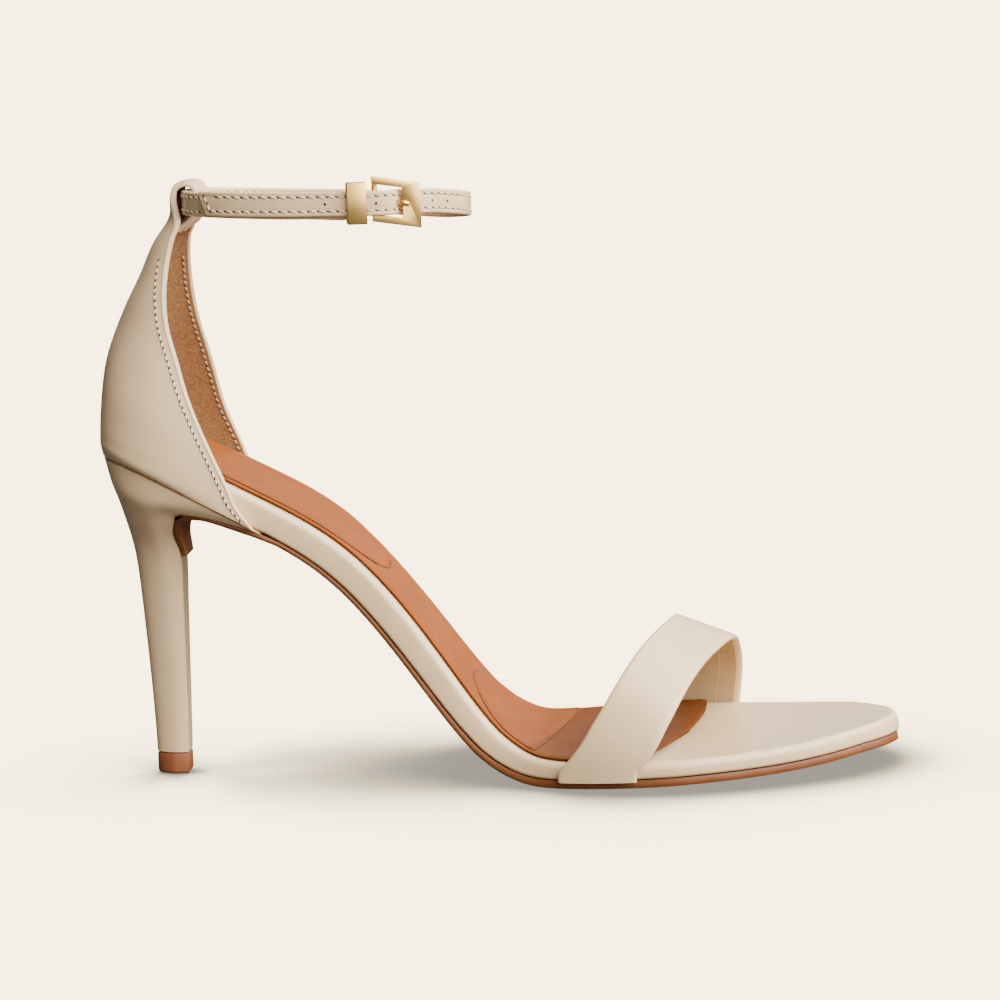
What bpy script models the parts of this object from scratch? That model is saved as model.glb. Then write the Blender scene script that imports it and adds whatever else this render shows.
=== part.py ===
"""A right foot's heeled sandal with one toe strap and a buckled ankle strap, as closed solids.

Metres, +Z up. +X points to the toe and -Y to the outer side of the foot. The origin is the middle of
the heel tip's bottom face, on the floor. Every height and place comes from the named sizes below,
and each table holds shares of those sizes.
"""

import math

import bmesh
import bpy
import numpy as np
from mathutils import Matrix, Vector

# Clearance between pieces that touch
GAP = 0.0003

# Sole seen from above: how far the seat's back stands behind the origin, places along X, and widths
# of the covered board
SEAT_OVERHANG = 0.0129
LIP_X = 0.0305
LIP_EASE = 0.0045
BALL_X = 0.140
TOE_X = 0.2028
SEAT_WIDTH = 0.0462
WAIST_WIDTH = 0.0393
BALL_WIDTH = 0.0764
SEAT_SQUARENESS = 2.7
TOE_SQUARENESS = 1.85
TOE_TAPER = 1.45

# Sole seen from the side: heights of the underside of the board
SEAT_HEIGHT = 0.0912
TOE_SPRING = 0.0066
EDGE_LIFT = 0.0011
FLAT_SHARE = 0.45

# Layers of the sole
OUTSOLE_FOREPART = 0.0023
OUTSOLE_SHANK = 0.0016
OUTSOLE_INSET = 0.0002
OUTSOLE_CHAMFER = 0.0007
BOARD_SHANK = 0.0072
BOARD_FOREPART = 0.0049
BOARD_ROUND = 0.0022
BOARD_CHAMFER = 0.0009
SOCK_THICKNESS = 0.0009
SOCK_INSET = 0.0016
SOCK_FRONT_LATERAL_X = 0.129
SOCK_FRONT_MEDIAL_X = 0.1500

# Heel and its tip
HEEL_TIP_HEIGHT = 0.0060
HEEL_TIP_DEPTH = 0.0094
HEEL_TIP_WIDTH = 0.0086
HEEL_TIP_BEVEL = 0.0004
BREAST_WIDTH = 0.0070

# Back of the upper
COUNTER_WALL = 0.0020
COUNTER_RISE = 0.0626
COUNTER_SETBACK = 0.0020
NECK_BACK_X = 0.0046
NECK_FRONT_LATERAL_X = 0.0088
NECK_FRONT_MEDIAL_X = 0.0109
NECK_WIDTH = 0.0168

# Ankle strap, along the middle of its thickness
ANKLE_STAND = 0.0060
ANKLE_LENGTH = 0.0773
ANKLE_WIDTH = 0.0550
ANKLE_SQUARENESS = 2.3
ANKLE_RISE = 0.0686
ANKLE_DIP = 0.0042
UNDERLAP_DROP = 0.0016
STRAP_WIDTH = 0.0066
STRAP_THICKNESS = 0.0017
STRAP_FOLD = 0.0007
STRAP_FOLD_WIDTH = 0.0050
STRAP_FOLD_DROP = 0.0006
STRAP_TIP_SLANT = 0.0030
STRAP_TIP_SETBACK = 0.0450

# Loop at the top of the counter that carries the ankle strap
LOOP_WIDTH = 0.0150
LOOP_WALL = 0.0017
LOOP_SLACK = 0.0014

# Buckle and keeper
BUCKLE_SETBACK = 0.0229
BUCKLE_LENGTH = 0.0129
BUCKLE_HEIGHT = 0.0120
BUCKLE_SLANT = 9.5
BUCKLE_DROP = 0.0006
BUCKLE_THICKNESS = 0.0017
BUCKLE_END_BAR = 0.0048
BUCKLE_SIDE_BAR = 0.0020
BUCKLE_PIN_RADIUS = 0.00075
BUCKLE_PIN_STAND = 0.0004
BUCKLE_STAND = 0.00017
BUCKLE_BEVEL = 0.0003
PRONG_RADIUS = 0.0005
PRONG_REACH = 0.0090
KEEPER_SETBACK = 0.0048
KEEPER_LENGTH = 0.0054
KEEPER_HEIGHT = 0.0110
KEEPER_WALL = 0.0008
KEEPER_DROP = 0.0005

# Toe strap
TOE_STRAP_WALL = 0.0018
TOE_STRAP_BACK_RISE = 0.0412
TOE_STRAP_FRONT_RISE = 0.0346
TOE_STRAP_FOOT_LATERAL_X = 0.1090
TOE_STRAP_FOOT_MEDIAL_X = 0.1400
TOE_STRAP_FOOT_LATERAL_LENGTH = 0.0215
TOE_STRAP_FOOT_MEDIAL_LENGTH = 0.0193

# How finely the lofts are divided
SOLE_STATIONS = 40
END_STEPS = (0.03, 0.14, 0.34, 0.63)
SOCK_STATIONS = 27
HEEL_STEPS = 2
COUNTER_STEPS = 2
COUNTER_POINTS = 15
TOE_STRAP_TURNS = 31
TOE_STRAP_COLUMNS = 6

# Underside of the board: share of the way from the seat's back to the toe, and of the seat's height
SOLE_PROFILE = (
    # along, height
    (0.000, 1.000),
    (0.106, 0.899),
    (0.199, 0.782),
    (0.292, 0.628),
    (0.384, 0.364),
    (0.468, 0.114),
    (0.523, 0.0345),
    (0.588, 0.0226),
    (0.732, 0.0406),
    (0.871, 0.0580),
)
SEAT_SLOPE = -0.20
TOE_SLOPE = 0.16

# Plan of the waist between the lip and the ball: half widths as shares of the width they follow
WAIST_PLAN = (
    # along, size, lateral, medial
    (0.329, "waist", 0.560, 0.435),
    (0.384, "waist", 0.565, 0.480),
    (0.439, "ball", 0.309, 0.302),
    (0.495, "ball", 0.348, 0.385),
    (0.551, "ball", 0.404, 0.440),
    (0.606, "ball", 0.455, 0.473),
    (0.662, "ball", 0.490, 0.495),
)

# Thickness of the board and the outsole: 0 as at the forepart, 1 as at the shank
LAYER_BLEND = (
    # along, board, outsole
    (0.000, 1.00, 1.00),
    (0.424, 1.00, 1.00),
    (0.467, 0.76, 0.70),
    (0.504, 0.50, 0.35),
    (0.537, 0.20, 0.05),
    (0.574, 0.02, 0.00),
    (1.000, 0.00, 0.00),
)

# Heel: each row is a slice from its back edge to its front edge. The places are shares of the way
# from the tip to the seat at the back, and from the tip to the lip in front
HEEL_SLICES = (
    # back_x, back_z, front_x, front_z, front_half, widest_half, squareness
    (0.000, 0.000, 0.000, 0.000, 0.000, 0.000, 2.0),
    (0.045, 0.160, 0.012, 0.212, 0.010, 0.015, 2.0),
    (0.155, 0.395, 0.022, 0.525, 0.045, 0.063, 2.0),
    (0.250, 0.560, 0.030, 0.745, 0.085, 0.132, 2.0),
    (0.325, 0.655, 0.026, 0.866, 0.120, 0.200, 2.1),
    (0.430, 0.728, -0.008, 0.933, 0.240, 0.325, 2.2),
    (0.565, 0.797, -0.016, 0.984, 0.395, 0.495, 2.3),
    (0.700, 0.862, 0.022, 1.033, 0.560, 0.655, 2.45),
    (0.825, 0.914, 0.143, 1.070, 0.735, 0.810, 2.6),
    (0.925, 0.956, 0.365, 1.080, 0.885, 0.920, 2.75),
    (0.975, 0.979, 0.668, 1.047, 0.970, 0.975, 2.9),
)

# Counter: each row is a slice from its back to its two front edges. The places are shares of the way
# from the seat to the neck at the back, and from the lip to the neck in front
COUNTER_SLICES = (
    # back_x, back_z, lateral_x, medial_x, front_z, narrowing, squareness, wrap
    (-0.014, 0.058, 0.213, 0.238, 0.069, 0.000, 3.0, 90.0),
    (-0.010, 0.121, 0.355, 0.398, 0.153, 0.020, 2.9, 90.0),
    (0.005, 0.201, 0.518, 0.540, 0.240, 0.060, 2.7, 90.0),
    (0.034, 0.297, 0.695, 0.710, 0.337, 0.125, 2.5, 90.0),
    (0.082, 0.393, 0.870, 0.822, 0.446, 0.225, 2.3, 88.0),
    (0.173, 0.489, 1.000, 0.926, 0.556, 0.355, 2.15, 86.0),
    (0.298, 0.585, 1.118, 1.030, 0.653, 0.490, 2.0, 84.0),
    (0.455, 0.688, 1.165, 1.097, 0.751, 0.615, 2.0, 81.0),
    (0.630, 0.792, 1.150, 1.117, 0.842, 0.740, 2.0, 77.0),
    (0.793, 0.904, 1.090, 1.092, 0.931, 0.870, 2.0, 73.0),
    (1.000, 1.000, 1.000, 1.000, 1.000, 1.000, 2.0, 68.0),
)

# Loop: places are shares of its half depth and half height around the strap inside it, the turn is
# the way its inner face looks, the bow is how far its edges stand from its middle, and the bow and
# the width are shares of the loop's width
LOOP_SLICES = (
    # forward, up, turn, bow, wrap, width
    (-1.12, -0.50, 4.0, 0.140, 60.0, 1.00),
    (-1.08, 0.05, -8.0, 0.080, 50.0, 1.00),
    (-0.93, 0.54, -28.0, 0.053, 45.0, 1.00),
    (-0.62, 0.90, -58.0, 0.033, 40.0, 1.00),
    (-0.10, 1.05, -90.0, 0.013, 40.0, 1.00),
    (0.42, 0.98, -122.0, -0.020, 40.0, 1.00),
    (0.82, 0.68, -150.0, -0.053, 40.0, 1.00),
    (0.97, 0.15, -175.0, -0.053, 40.0, 0.98),
    (0.92, -0.32, -196.0, -0.047, 40.0, 0.92),
    (0.66, -0.72, -222.0, -0.047, 45.0, 0.82),
    (0.24, -1.00, -236.0, -0.060, 50.0, 0.72),
    (-0.20, -1.16, -232.0, -0.073, 55.0, 0.63),
    (-0.62, -1.35, -220.0, -0.087, 60.0, 0.56),
)

# Height of the ankle strap round the ankle, as shares of its dip, by the angle from the front
ANKLE_DIPS = (
    # angle, dip
    (-90.0, 0.00),
    (-45.0, 0.15),
    (-15.0, 0.50),
    (15.0, 0.85),
    (45.0, 1.00),
    (75.0, 0.75),
    (120.0, 0.32),
    (180.0, 0.00),
)

# Climb of the ankle strap through the buckle, from under its end bar to over its pin: along is a share
# of the opening's length and depth a share of the way from under the frame to over the pin
STRAP_CLIMB = (
    # along, depth
    (1.41, 0.00),
    (1.08, 0.00),
    (0.92, 0.07),
    (0.77, 0.33),
    (0.63, 0.66),
    (0.47, 0.86),
    (0.22, 0.98),
    (0.00, 1.00),
)

# Toe strap: each row is a rib of the band, from the lateral foot over the arch to the medial foot.
# Back and front are shares of the way between the two feet, turn is the angle along each arch
TOE_STRAP_RIBS = (
    # turn, back, front
    (0.0, 0.000, 0.000),
    (8.0, 0.155, 0.146),
    (18.0, 0.290, 0.253),
    (30.0, 0.432, 0.365),
    (42.0, 0.560, 0.470),
    (55.0, 0.690, 0.585),
    (70.0, 0.840, 0.725),
    (90.0, 1.000, 0.890),
    (110.0, 1.060, 0.985),
    (128.0, 1.085, 1.020),
    (143.0, 1.080, 1.040),
    (157.0, 1.060, 1.040),
    (170.0, 1.030, 1.020),
    (180.0, 1.000, 1.000),
)
ARCH_SQUARENESS = 2.15


def clear_scene():
    """Remove whatever the file opened with, so that a run always starts empty."""
    for item in list(bpy.data.objects):
        bpy.data.objects.remove(item, do_unlink=True)


def cubic(places, values, start_slope=None, end_slope=None):
    """Smooth curve through a table's column, as a function of its first column."""
    places = np.asarray(places, float)
    values = np.asarray(values, float)
    count = len(places)
    step = np.diff(places)
    system = np.zeros((count, count))
    right = np.zeros(count)
    for row in range(1, count - 1):
        before = 1.0 / step[row - 1]
        after = 1.0 / step[row]
        system[row, row - 1:row + 2] = before, 2.0 * (before + after), after
        right[row] = 3.0 * ((values[row] - values[row - 1]) * before ** 2
                            + (values[row + 1] - values[row]) * after ** 2)
    ends = ((0, 1, start_slope), (count - 1, count - 2, end_slope))
    for end, neighbour, slope in ends:
        system[end, end] = 1.0
        if slope is None:
            system[end, neighbour] = 0.5
            right[end] = 1.5 * (values[end] - values[neighbour]) / (places[end] - places[neighbour])
        else:
            right[end] = slope
    slopes = np.linalg.solve(system, right)

    def curve(place):
        index = int(np.clip(np.searchsorted(places, place) - 1, 0, count - 2))
        share = (place - places[index]) / step[index]
        rest = 1.0 - share
        return float(values[index] * (1.0 + 2.0 * share) * rest ** 2
                     + values[index + 1] * share ** 2 * (3.0 - 2.0 * share)
                     + step[index] * (slopes[index] * share * rest ** 2
                                      - slopes[index + 1] * rest * share ** 2))

    return curve


def blend(low, high, share):
    """Value a share of the way from one size to another."""
    return low + (high - low) * share


def power(value, exponent):
    """Power that keeps the sign of its base."""
    return math.copysign(abs(value) ** exponent, value)


SOLE_LENGTH = TOE_X + SEAT_OVERHANG


def sole_x(along):
    """Place along X at a share of the way from the seat's back to the toe."""
    return blend(-SEAT_OVERHANG, TOE_X, along)


def make_sole_height():
    """Height of the board's underside along X, with the toe spring as its last point."""
    places = [sole_x(along) for along, height in SOLE_PROFILE] + [TOE_X]
    heights = [SEAT_HEIGHT * height for along, height in SOLE_PROFILE]
    heights.append(OUTSOLE_FOREPART + TOE_SPRING)
    return cubic(places, heights, SEAT_SLOPE, TOE_SLOPE)


SOLE_HEIGHT = make_sole_height()


def sole_normal(x):
    """Unit normal of the board's underside, in the XZ plane."""
    rise = (SOLE_HEIGHT(x + GAP) - SOLE_HEIGHT(x - GAP)) / (2.0 * GAP)
    return Vector((-rise, 0.0, 1.0)).normalized()


def edge_lift(x, share):
    """Rise of the sole's edges over its flat middle, which fades out towards the shank and the tip."""
    fade = min(1.0, max(0.0, (x - sole_x(0.47)) / (SOLE_LENGTH * 0.09)))
    fade *= min(1.0, (TOE_X - x) / (SOLE_LENGTH * 0.05))
    beyond = max(0.0, (abs(share) - FLAT_SHARE) / (1.0 - FLAT_SHARE))
    return EDGE_LIFT * fade * beyond ** 2


def sole_point(x, y, offset, share=0.0):
    """Point over the board's underside: offset is measured along its normal."""
    base = Vector((x, y, SOLE_HEIGHT(x)))
    return base + sole_normal(x) * (offset + edge_lift(x, share))


def make_waist():
    """Half widths between the lip and the ball, one curve for each side of the foot."""
    sizes = {"waist": WAIST_WIDTH, "ball": BALL_WIDTH}
    places = [LIP_X] + [sole_x(row[0]) for row in WAIST_PLAN] + [BALL_X]
    curves = []
    for column in (2, 3):
        halves = [sizes[row[1]] * row[column] for row in WAIST_PLAN]
        halves = [SEAT_WIDTH / 2.0] + halves + [BALL_WIDTH / 2.0]
        curves.append(cubic(places, halves, 0.0, 0.0))
    return curves


WAIST_LATERAL, WAIST_MEDIAL = make_waist()


def half_width(x, side, inset=0.0):
    """Half width of the board at x, with its whole outline moved in by the inset."""
    if x < LIP_X:
        reach = LIP_X + SEAT_OVERHANG - inset
        share = min(1.0, (LIP_X - x) / reach)
        half = SEAT_WIDTH / 2.0 - inset
        return half * (1.0 - share ** SEAT_SQUARENESS) ** (1.0 / SEAT_SQUARENESS)
    if x > BALL_X:
        reach = TOE_X - BALL_X - inset
        share = min(1.0, (x - BALL_X) / reach)
        half = BALL_WIDTH / 2.0 - inset
        return half * (1.0 - share ** TOE_TAPER) ** (1.0 / TOE_SQUARENESS)
    if side < 0:
        return WAIST_LATERAL(x) - inset
    return WAIST_MEDIAL(x) - inset


def layer(column):
    """Curve of a layer's blend from forepart to shank, from its column in the table."""
    places = [sole_x(row[0]) for row in LAYER_BLEND]
    return cubic(places, [row[column] for row in LAYER_BLEND], 0.0, 0.0)


BOARD_BLEND = layer(1)
OUTSOLE_BLEND = layer(2)


def board_thickness(x):
    """Thickness of the covered board, square to its underside."""
    return blend(BOARD_FOREPART, BOARD_SHANK, BOARD_BLEND(x))


def outsole_thickness(x):
    """Thickness of the outsole, square to its top."""
    return blend(OUTSOLE_FOREPART, OUTSOLE_SHANK, OUTSOLE_BLEND(x))


def sole_stations():
    """Places along X at even steps, with closer ones at both ends, where the outline turns."""
    places = list(np.linspace(-SEAT_OVERHANG, TOE_X, SOLE_STATIONS))
    step = places[1] - places[0]
    places[:1] = [-SEAT_OVERHANG + step * share for share in END_STEPS]
    places[-1:] = [TOE_X - step * share for share in reversed(END_STEPS)]
    return places


def outsole_stations():
    """The board's places from the lip on, drawn in a little towards the toe."""
    places = [LIP_X + LIP_EASE]
    for x in sole_stations():
        if x > LIP_X + LIP_EASE * 1.5:
            beyond = max(0.0, (x - BALL_X) / (TOE_X - BALL_X))
            places.append(x - OUTSOLE_INSET * beyond)
    return places


def make_material(name, colour, roughness, metallic=0.0):
    """Principled material of one piece."""
    material = bpy.data.materials.new(name)
    material.use_nodes = True
    shader = material.node_tree.nodes["Principled BSDF"]
    shader.inputs["Base Color"].default_value = (*colour, 1.0)
    shader.inputs["Roughness"].default_value = roughness
    shader.inputs["Metallic"].default_value = metallic
    material.diffuse_color = (*colour, 1.0)
    return material


def cream_leather():
    """Smooth cream upper leather."""
    return make_material("cream_leather", (0.74, 0.64, 0.52), 0.35)


def tan_leather():
    """Tan sock and sole leather."""
    return make_material("tan_leather", (0.50, 0.22, 0.10), 0.45)


def gold_metal():
    """Polished pale gold buckle metal."""
    return make_material("gold_metal", (0.80, 0.58, 0.26), 0.22, 1.0)


def finish_mesh(name, mesh, material, collection, smooth_angle=35.0):
    """Object of a finished mesh, shaded smooth except at its sharp edges."""
    mesh.shade_smooth()
    mesh.set_sharp_from_angle(angle=math.radians(smooth_angle))
    mesh.materials.append(material)
    item = bpy.data.objects.new(name, mesh)
    collection.objects.link(item)
    return item


def loft(name, rings, material, collection, closed=False):
    """Solid through rings of equal count, whose caps join each point to its mirror in the ring."""
    build = bmesh.new()
    rows = [[build.verts.new(point) for point in ring] for ring in rings]
    count = len(rings[0])
    pairs = list(zip(rows, rows[1:]))
    if closed:
        pairs.append((rows[-1], rows[0]))
    for first, second in pairs:
        for index in range(count):
            after = (index + 1) % count
            build.faces.new((first[index], first[after], second[after], second[index]))
    if not closed:
        for row in (rows[0], rows[-1]):
            for index in range((count - 1) // 2):
                corners = [row[index], row[index + 1], row[count - 2 - index], row[count - 1 - index]]
                unique = list(dict.fromkeys(corners))
                build.faces.new(unique)
    bmesh.ops.recalc_face_normals(build, faces=build.faces)
    mesh = bpy.data.meshes.new(name)
    build.to_mesh(mesh)
    build.free()
    return finish_mesh(name, mesh, material, collection)


def make_outsole(material, collection):
    """Tan outsole from the toe along the shank, under the heel's lip and down the heel's breast."""
    path = []
    for x in reversed(outsole_stations()):
        halves = [half_width(x, side, OUTSOLE_INSET) for side in (-1, 1)]
        path.append((sole_point(x, 0.0, -GAP), halves, outsole_thickness(x), x))
    slices = heel_slices()
    for slice_row in reversed(slices[:-1]):
        if slice_row["front"].z < flap_end_z():
            break
        half = slice_row["front_half"]
        path.append((slice_row["front"].copy(), [half, half], OUTSOLE_SHANK, None))
    points = [entry[0] for entry in path]
    rings = []
    for index, (point, halves, thickness, x) in enumerate(path):
        before = points[max(index - 1, 0)]
        after = points[min(index + 1, len(points) - 1)]
        along = (after - before).normalized()
        up = Vector((along.z, 0.0, -along.x))
        top = point if x is not None else point - up * GAP
        rings.append(outsole_ring(top, up, halves, thickness, x))
    return loft("outsole", rings, material, collection)


def outsole_ring(top, up, halves, thickness, x):
    """One section of the outsole: a flat top, a chamfered edge and a bottom ground flat on the floor."""
    lateral, medial = halves
    chamfer = min(OUTSOLE_CHAMFER, 0.4 * lateral)
    lower = []
    upper = []
    for share in (-1.0, -FLAT_SHARE, 0.0, FLAT_SHARE, 1.0):
        y = (lateral if share < 0 else medial) * share
        lift = edge_lift(x, share) if x is not None else 0.0
        inner = math.copysign(abs(y) - chamfer, y) if abs(share) == 1.0 else y
        bottom = top + up * (lift - thickness) + Vector((0.0, inner, 0.0))
        bottom.z = max(bottom.z, 0.0)
        lower.append(bottom)
        upper.append(top + up * lift + Vector((0.0, y, 0.0)))
        if abs(share) == 1.0:
            near = 1.0 - board_under(abs(y)) / abs(y)
            lift = edge_lift(x, near) if x is not None else 0.0
            upper.append(top + up * lift + Vector((0.0, y * near, 0.0)))
    upper[-2], upper[-1] = upper[-1], upper[-2]
    corner_lift = edge_lift(x, 1.0) if x is not None else 0.0
    drop = up * (corner_lift - thickness + chamfer)
    lower.insert(0, top + drop + Vector((0.0, -lateral, 0.0)))
    lower.append(top + drop + Vector((0.0, medial, 0.0)))
    return lower + upper[::-1]


def board_under(half):
    """Size of the board's lower chamfer where it is half as wide as given."""
    return min(BOARD_CHAMFER, 0.35 * half)


def flap_end_z():
    """Height at which the outsole's flap ends on the heel's breast."""
    lip = sole_point(LIP_X, 0.0, -GAP)
    return blend(HEEL_TIP_HEIGHT + GAP, lip.z, 0.862)


def board_ring(x, inset=0.0):
    """One section of the covered board, with a flat underside and rounded upper edges."""
    height = board_thickness(x) - end_fall(x)
    halves = {side: half_width(x, side, inset) for side in (-1, 1)}
    lower = []
    upper = []
    for side in (-1, 1):
        half = halves[side]
        under = board_under(half)
        corner = min(BOARD_ROUND, (1.0 - FLAT_SHARE) * 0.9 * half)
        low = [(half - under, 0.0), (half, under)]
        arc = [(half - corner + corner * math.cos(math.radians(angle)),
                height - corner + corner * math.sin(math.radians(angle))) for angle in (0, 30, 60, 90)]
        low_points = [board_point(x, side, half, y, offset) for y, offset in low]
        arc_points = [board_point(x, side, half, y, offset) for y, offset in arc]
        low_points.insert(0, board_point(x, side, half, half * FLAT_SHARE, 0.0))
        arc_points.append(board_point(x, side, half, half * FLAT_SHARE, height))
        if side < 0:
            lower += low_points[::-1] + [sole_point(x, 0.0, 0.0)]
            upper += arc_points + [sole_point(x, 0.0, height)]
        else:
            lower += low_points
            upper += arc_points[::-1]
    lower.insert(0, lower[0].lerp(upper[0], 0.5))
    lower.append(lower[-1].lerp(upper[-1], 0.5))
    return lower + upper[::-1]


def board_point(x, side, half, y, offset):
    """Point of the board at a distance y from the middle line, on one side of it."""
    return sole_point(x, side * y, offset, y / half)


def end_fall(x):
    """Rounding of the board's top over the tip of the toe, seen from the side."""
    inside = TOE_X - x
    if inside > BOARD_ROUND:
        return 0.0
    return BOARD_ROUND - math.sqrt(max(0.0, BOARD_ROUND ** 2 - (BOARD_ROUND - inside) ** 2))


def make_board(material, collection):
    """Insole board wrapped in cream leather, from the seat to the toe."""
    return loft("covered_board", [board_ring(x) for x in sole_stations()], material, collection)


def sock_front(share):
    """Place of the sock's front edge, which slants forward towards the inner side of the foot."""
    across = (share + 1.0) / 2.0
    reach = SOCK_FRONT_MEDIAL_X - SOCK_FRONT_LATERAL_X
    return SOCK_FRONT_LATERAL_X + reach * math.sin(across * math.pi / 2.0) ** 0.85


def make_sock(material, collection):
    """Tan padded sock on top of the board, with a slanted front edge under the toe strap."""
    shares = (-1.0, -0.9, -0.6, -0.3, 0.0, 0.3, 0.6, 0.9, 1.0)
    back = SOCK_INSET - SEAT_OVERHANG
    rings = []
    angles = np.linspace(math.radians(8.0), math.radians(90.0), SOCK_STATIONS)
    for angle in angles:
        lower = []
        upper = []
        for share in shares:
            reach = sock_front(share) - back
            x = back + reach * (1.0 - math.cos(angle))
            side = -1 if share < 0 else 1
            half = half_width(x, side, SOCK_INSET)
            y = half * share
            over = y / half_width(x, side)
            base = board_thickness(x) + GAP * 1.4
            lower.append(sole_point(x, y, base, over))
            crown = SOCK_THICKNESS if abs(share) < 1.0 else SOCK_THICKNESS * 0.35
            upper.append(sole_point(x, y, base + crown, over))
        rings.append(lower + upper[::-1])
    return loft("insole_sock", rings, material, collection)


def counter_reach():
    """How far the counter's outer face stands outside the board."""
    return GAP + COUNTER_WALL


def heel_slices():
    """Slices of the heel with their corner points and half widths, tip first and seat last."""
    tip_z = HEEL_TIP_HEIGHT + GAP
    tip_back = Vector((-HEEL_TIP_DEPTH / 2.0, 0.0, tip_z))
    tip_front = Vector((HEEL_TIP_DEPTH / 2.0, 0.0, tip_z))
    seat_back = sole_point(-SEAT_OVERHANG - counter_reach() + GAP, 0.0, -GAP)
    lip = sole_point(LIP_X, 0.0, -GAP)
    tip_half = HEEL_TIP_WIDTH / 2.0
    seat_half = SEAT_WIDTH / 2.0 + counter_reach() - GAP
    names = ("back_x", "back_z", "front_x", "front_z", "front_half", "widest_half", "squareness")
    rows = HEEL_SLICES + ((1.0, 1.0, 1.0, 1.0, 1.0, 1.0, SEAT_SQUARENESS),)
    places = list(range(len(rows)))
    curves = {name: cubic(places, [row[column] for row in rows]) for column, name in enumerate(names)}
    slices = []
    for step in range((len(rows) - 1) * HEEL_STEPS + 1):
        share = {name: curve(step / HEEL_STEPS) for name, curve in curves.items()}
        back = Vector((blend(tip_back.x, seat_back.x, share["back_x"]), 0.0,
                       blend(tip_back.z, seat_back.z, share["back_z"])))
        front = Vector((blend(tip_front.x, lip.x, share["front_x"]), 0.0,
                        blend(tip_front.z, lip.z, share["front_z"])))
        slices.append({
            "back": back,
            "front": front,
            "front_half": blend(BREAST_WIDTH / 2.0, SEAT_WIDTH / 2.0, share["front_half"]),
            "widest_half": blend(tip_half, seat_half, share["widest_half"]),
            "squareness": share["squareness"],
        })
    return slices


def make_heel(material, collection):
    """Slim covered heel with a flat breast, a seat that carries the counter and a lip in front."""
    slices = heel_slices()
    rings = []
    for number, row in enumerate(slices):
        top = number == len(slices) - 1
        ring = []
        for angle in np.linspace(0.0, 180.0, 21):
            sine = power(math.sin(math.radians(angle)), 2.0 / row["squareness"])
            cosine = power(math.cos(math.radians(angle)), 2.0 / row["squareness"])
            ease = min(1.0, sine / 0.45)
            half = blend(row["front_half"], row["widest_half"], ease * (2.0 - ease))
            point = row["front"].lerp(row["back"], sine)
            point.y = -half * cosine
            if top:
                point.z = sole_point(point.x, 0.0, -GAP).z
            ring.append(point)
        rings.append(ring)
    return loft("heel", rings, material, collection)


def make_heel_tip(material, collection):
    """Top piece under the heel: the block that stands on the floor."""
    rings = []
    for z, inset in ((0.0, HEEL_TIP_BEVEL), (HEEL_TIP_BEVEL, 0.0), (HEEL_TIP_HEIGHT, 0.0)):
        ring = []
        for angle in np.linspace(0.0, 180.0, 21):
            sine = math.sin(math.radians(angle))
            cosine = math.cos(math.radians(angle))
            half = blend(BREAST_WIDTH, HEEL_TIP_WIDTH, min(1.0, sine / 0.45)) / 2.0 - inset
            x = blend(HEEL_TIP_DEPTH / 2.0 - inset, -HEEL_TIP_DEPTH / 2.0 + inset, sine)
            ring.append(Vector((x, -half * cosine, z)))
        rings.append(ring)
    return loft("heel_tip", rings, material, collection)


def wrap_curve(wrap, squareness, half, depth_lateral, depth_medial):
    """Points of one horseshoe slice as (inward, across) pairs, from the lateral to the medial edge."""
    full = math.radians(wrap)
    edge_sine = power(math.sin(full), 2.0 / squareness)
    edge_cosine = power(math.cos(full), 2.0 / squareness)
    points = []
    for share in np.linspace(-1.0, 1.0, COUNTER_POINTS):
        angle = full * power(share, 1.3)
        sine = power(math.sin(angle), 2.0 / squareness)
        cosine = power(math.cos(angle), 2.0 / squareness)
        depth = depth_lateral if share < 0 else depth_medial
        points.append((depth * (1.0 - cosine) / (1.0 - edge_cosine), half * sine / edge_sine))
    return points


def offset_inward(points, wall):
    """The same slice moved inward by the wall, square to itself."""
    moved = []
    for index, point in enumerate(points):
        before = points[max(index - 1, 0)]
        after = points[min(index + 1, len(points) - 1)]
        run = (after[0] - before[0], after[1] - before[1])
        length = math.hypot(*run)
        moved.append((point[0] + wall * run[1] / length, point[1] - wall * run[0] / length))
    return moved


def counter_ring(origin, lean, curve, wall):
    """Closed ring of a slice: its outer face and its inner face, placed by its origin and lean."""
    inward = Vector((math.cos(math.radians(lean)), 0.0, math.sin(math.radians(lean))))
    across = Vector((0.0, 1.0, 0.0))
    outer = [origin + inward * a + across * b for a, b in curve]
    inner = [origin + inward * a + across * b for a, b in offset_inward(curve, wall)]
    return outer + inner[::-1]


def seat_ring():
    """Lowest ring of the counter, which follows the heel's seat round the board."""
    reach = counter_reach()
    back = -SEAT_OVERHANG - reach
    front = LIP_X - COUNTER_SETBACK
    half = SEAT_WIDTH / 2.0 + reach
    curve = wrap_curve(90.0, SEAT_SQUARENESS, half, front - back, front - back)
    ring = []
    for face in (curve, offset_inward(curve, COUNTER_WALL)[::-1]):
        for inward, across in face:
            place = sole_point(back + inward, 0.0, 0.0)
            ring.append(Vector((place.x, across, place.z)))
    return ring


def ankle_height():
    """Height of the middle of the ankle strap's width at the back."""
    return SEAT_HEIGHT + ANKLE_RISE


def loop_rings():
    """Rings of the loop, which goes up behind the strap, over it and down inside to the lining."""
    half_depth = STRAP_THICKNESS / 2.0 + LOOP_SLACK + LOOP_WALL + GAP
    half_height = STRAP_WIDTH / 2.0 + LOOP_WALL + GAP * 2.0
    middle = Vector((ankle_back_x() + GAP, 0.0, ankle_height()))
    rings = []
    for forward, up, turn, bow, wrap, width in LOOP_SLICES:
        origin = middle + Vector((forward * half_depth, 0.0, up * half_height))
        depth = LOOP_WIDTH * bow
        curve = wrap_curve(wrap, 2.0, LOOP_WIDTH / 2.0 * width, depth, depth)
        rings.append(counter_ring(origin, turn, curve, LOOP_WALL))
    return rings


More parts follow.
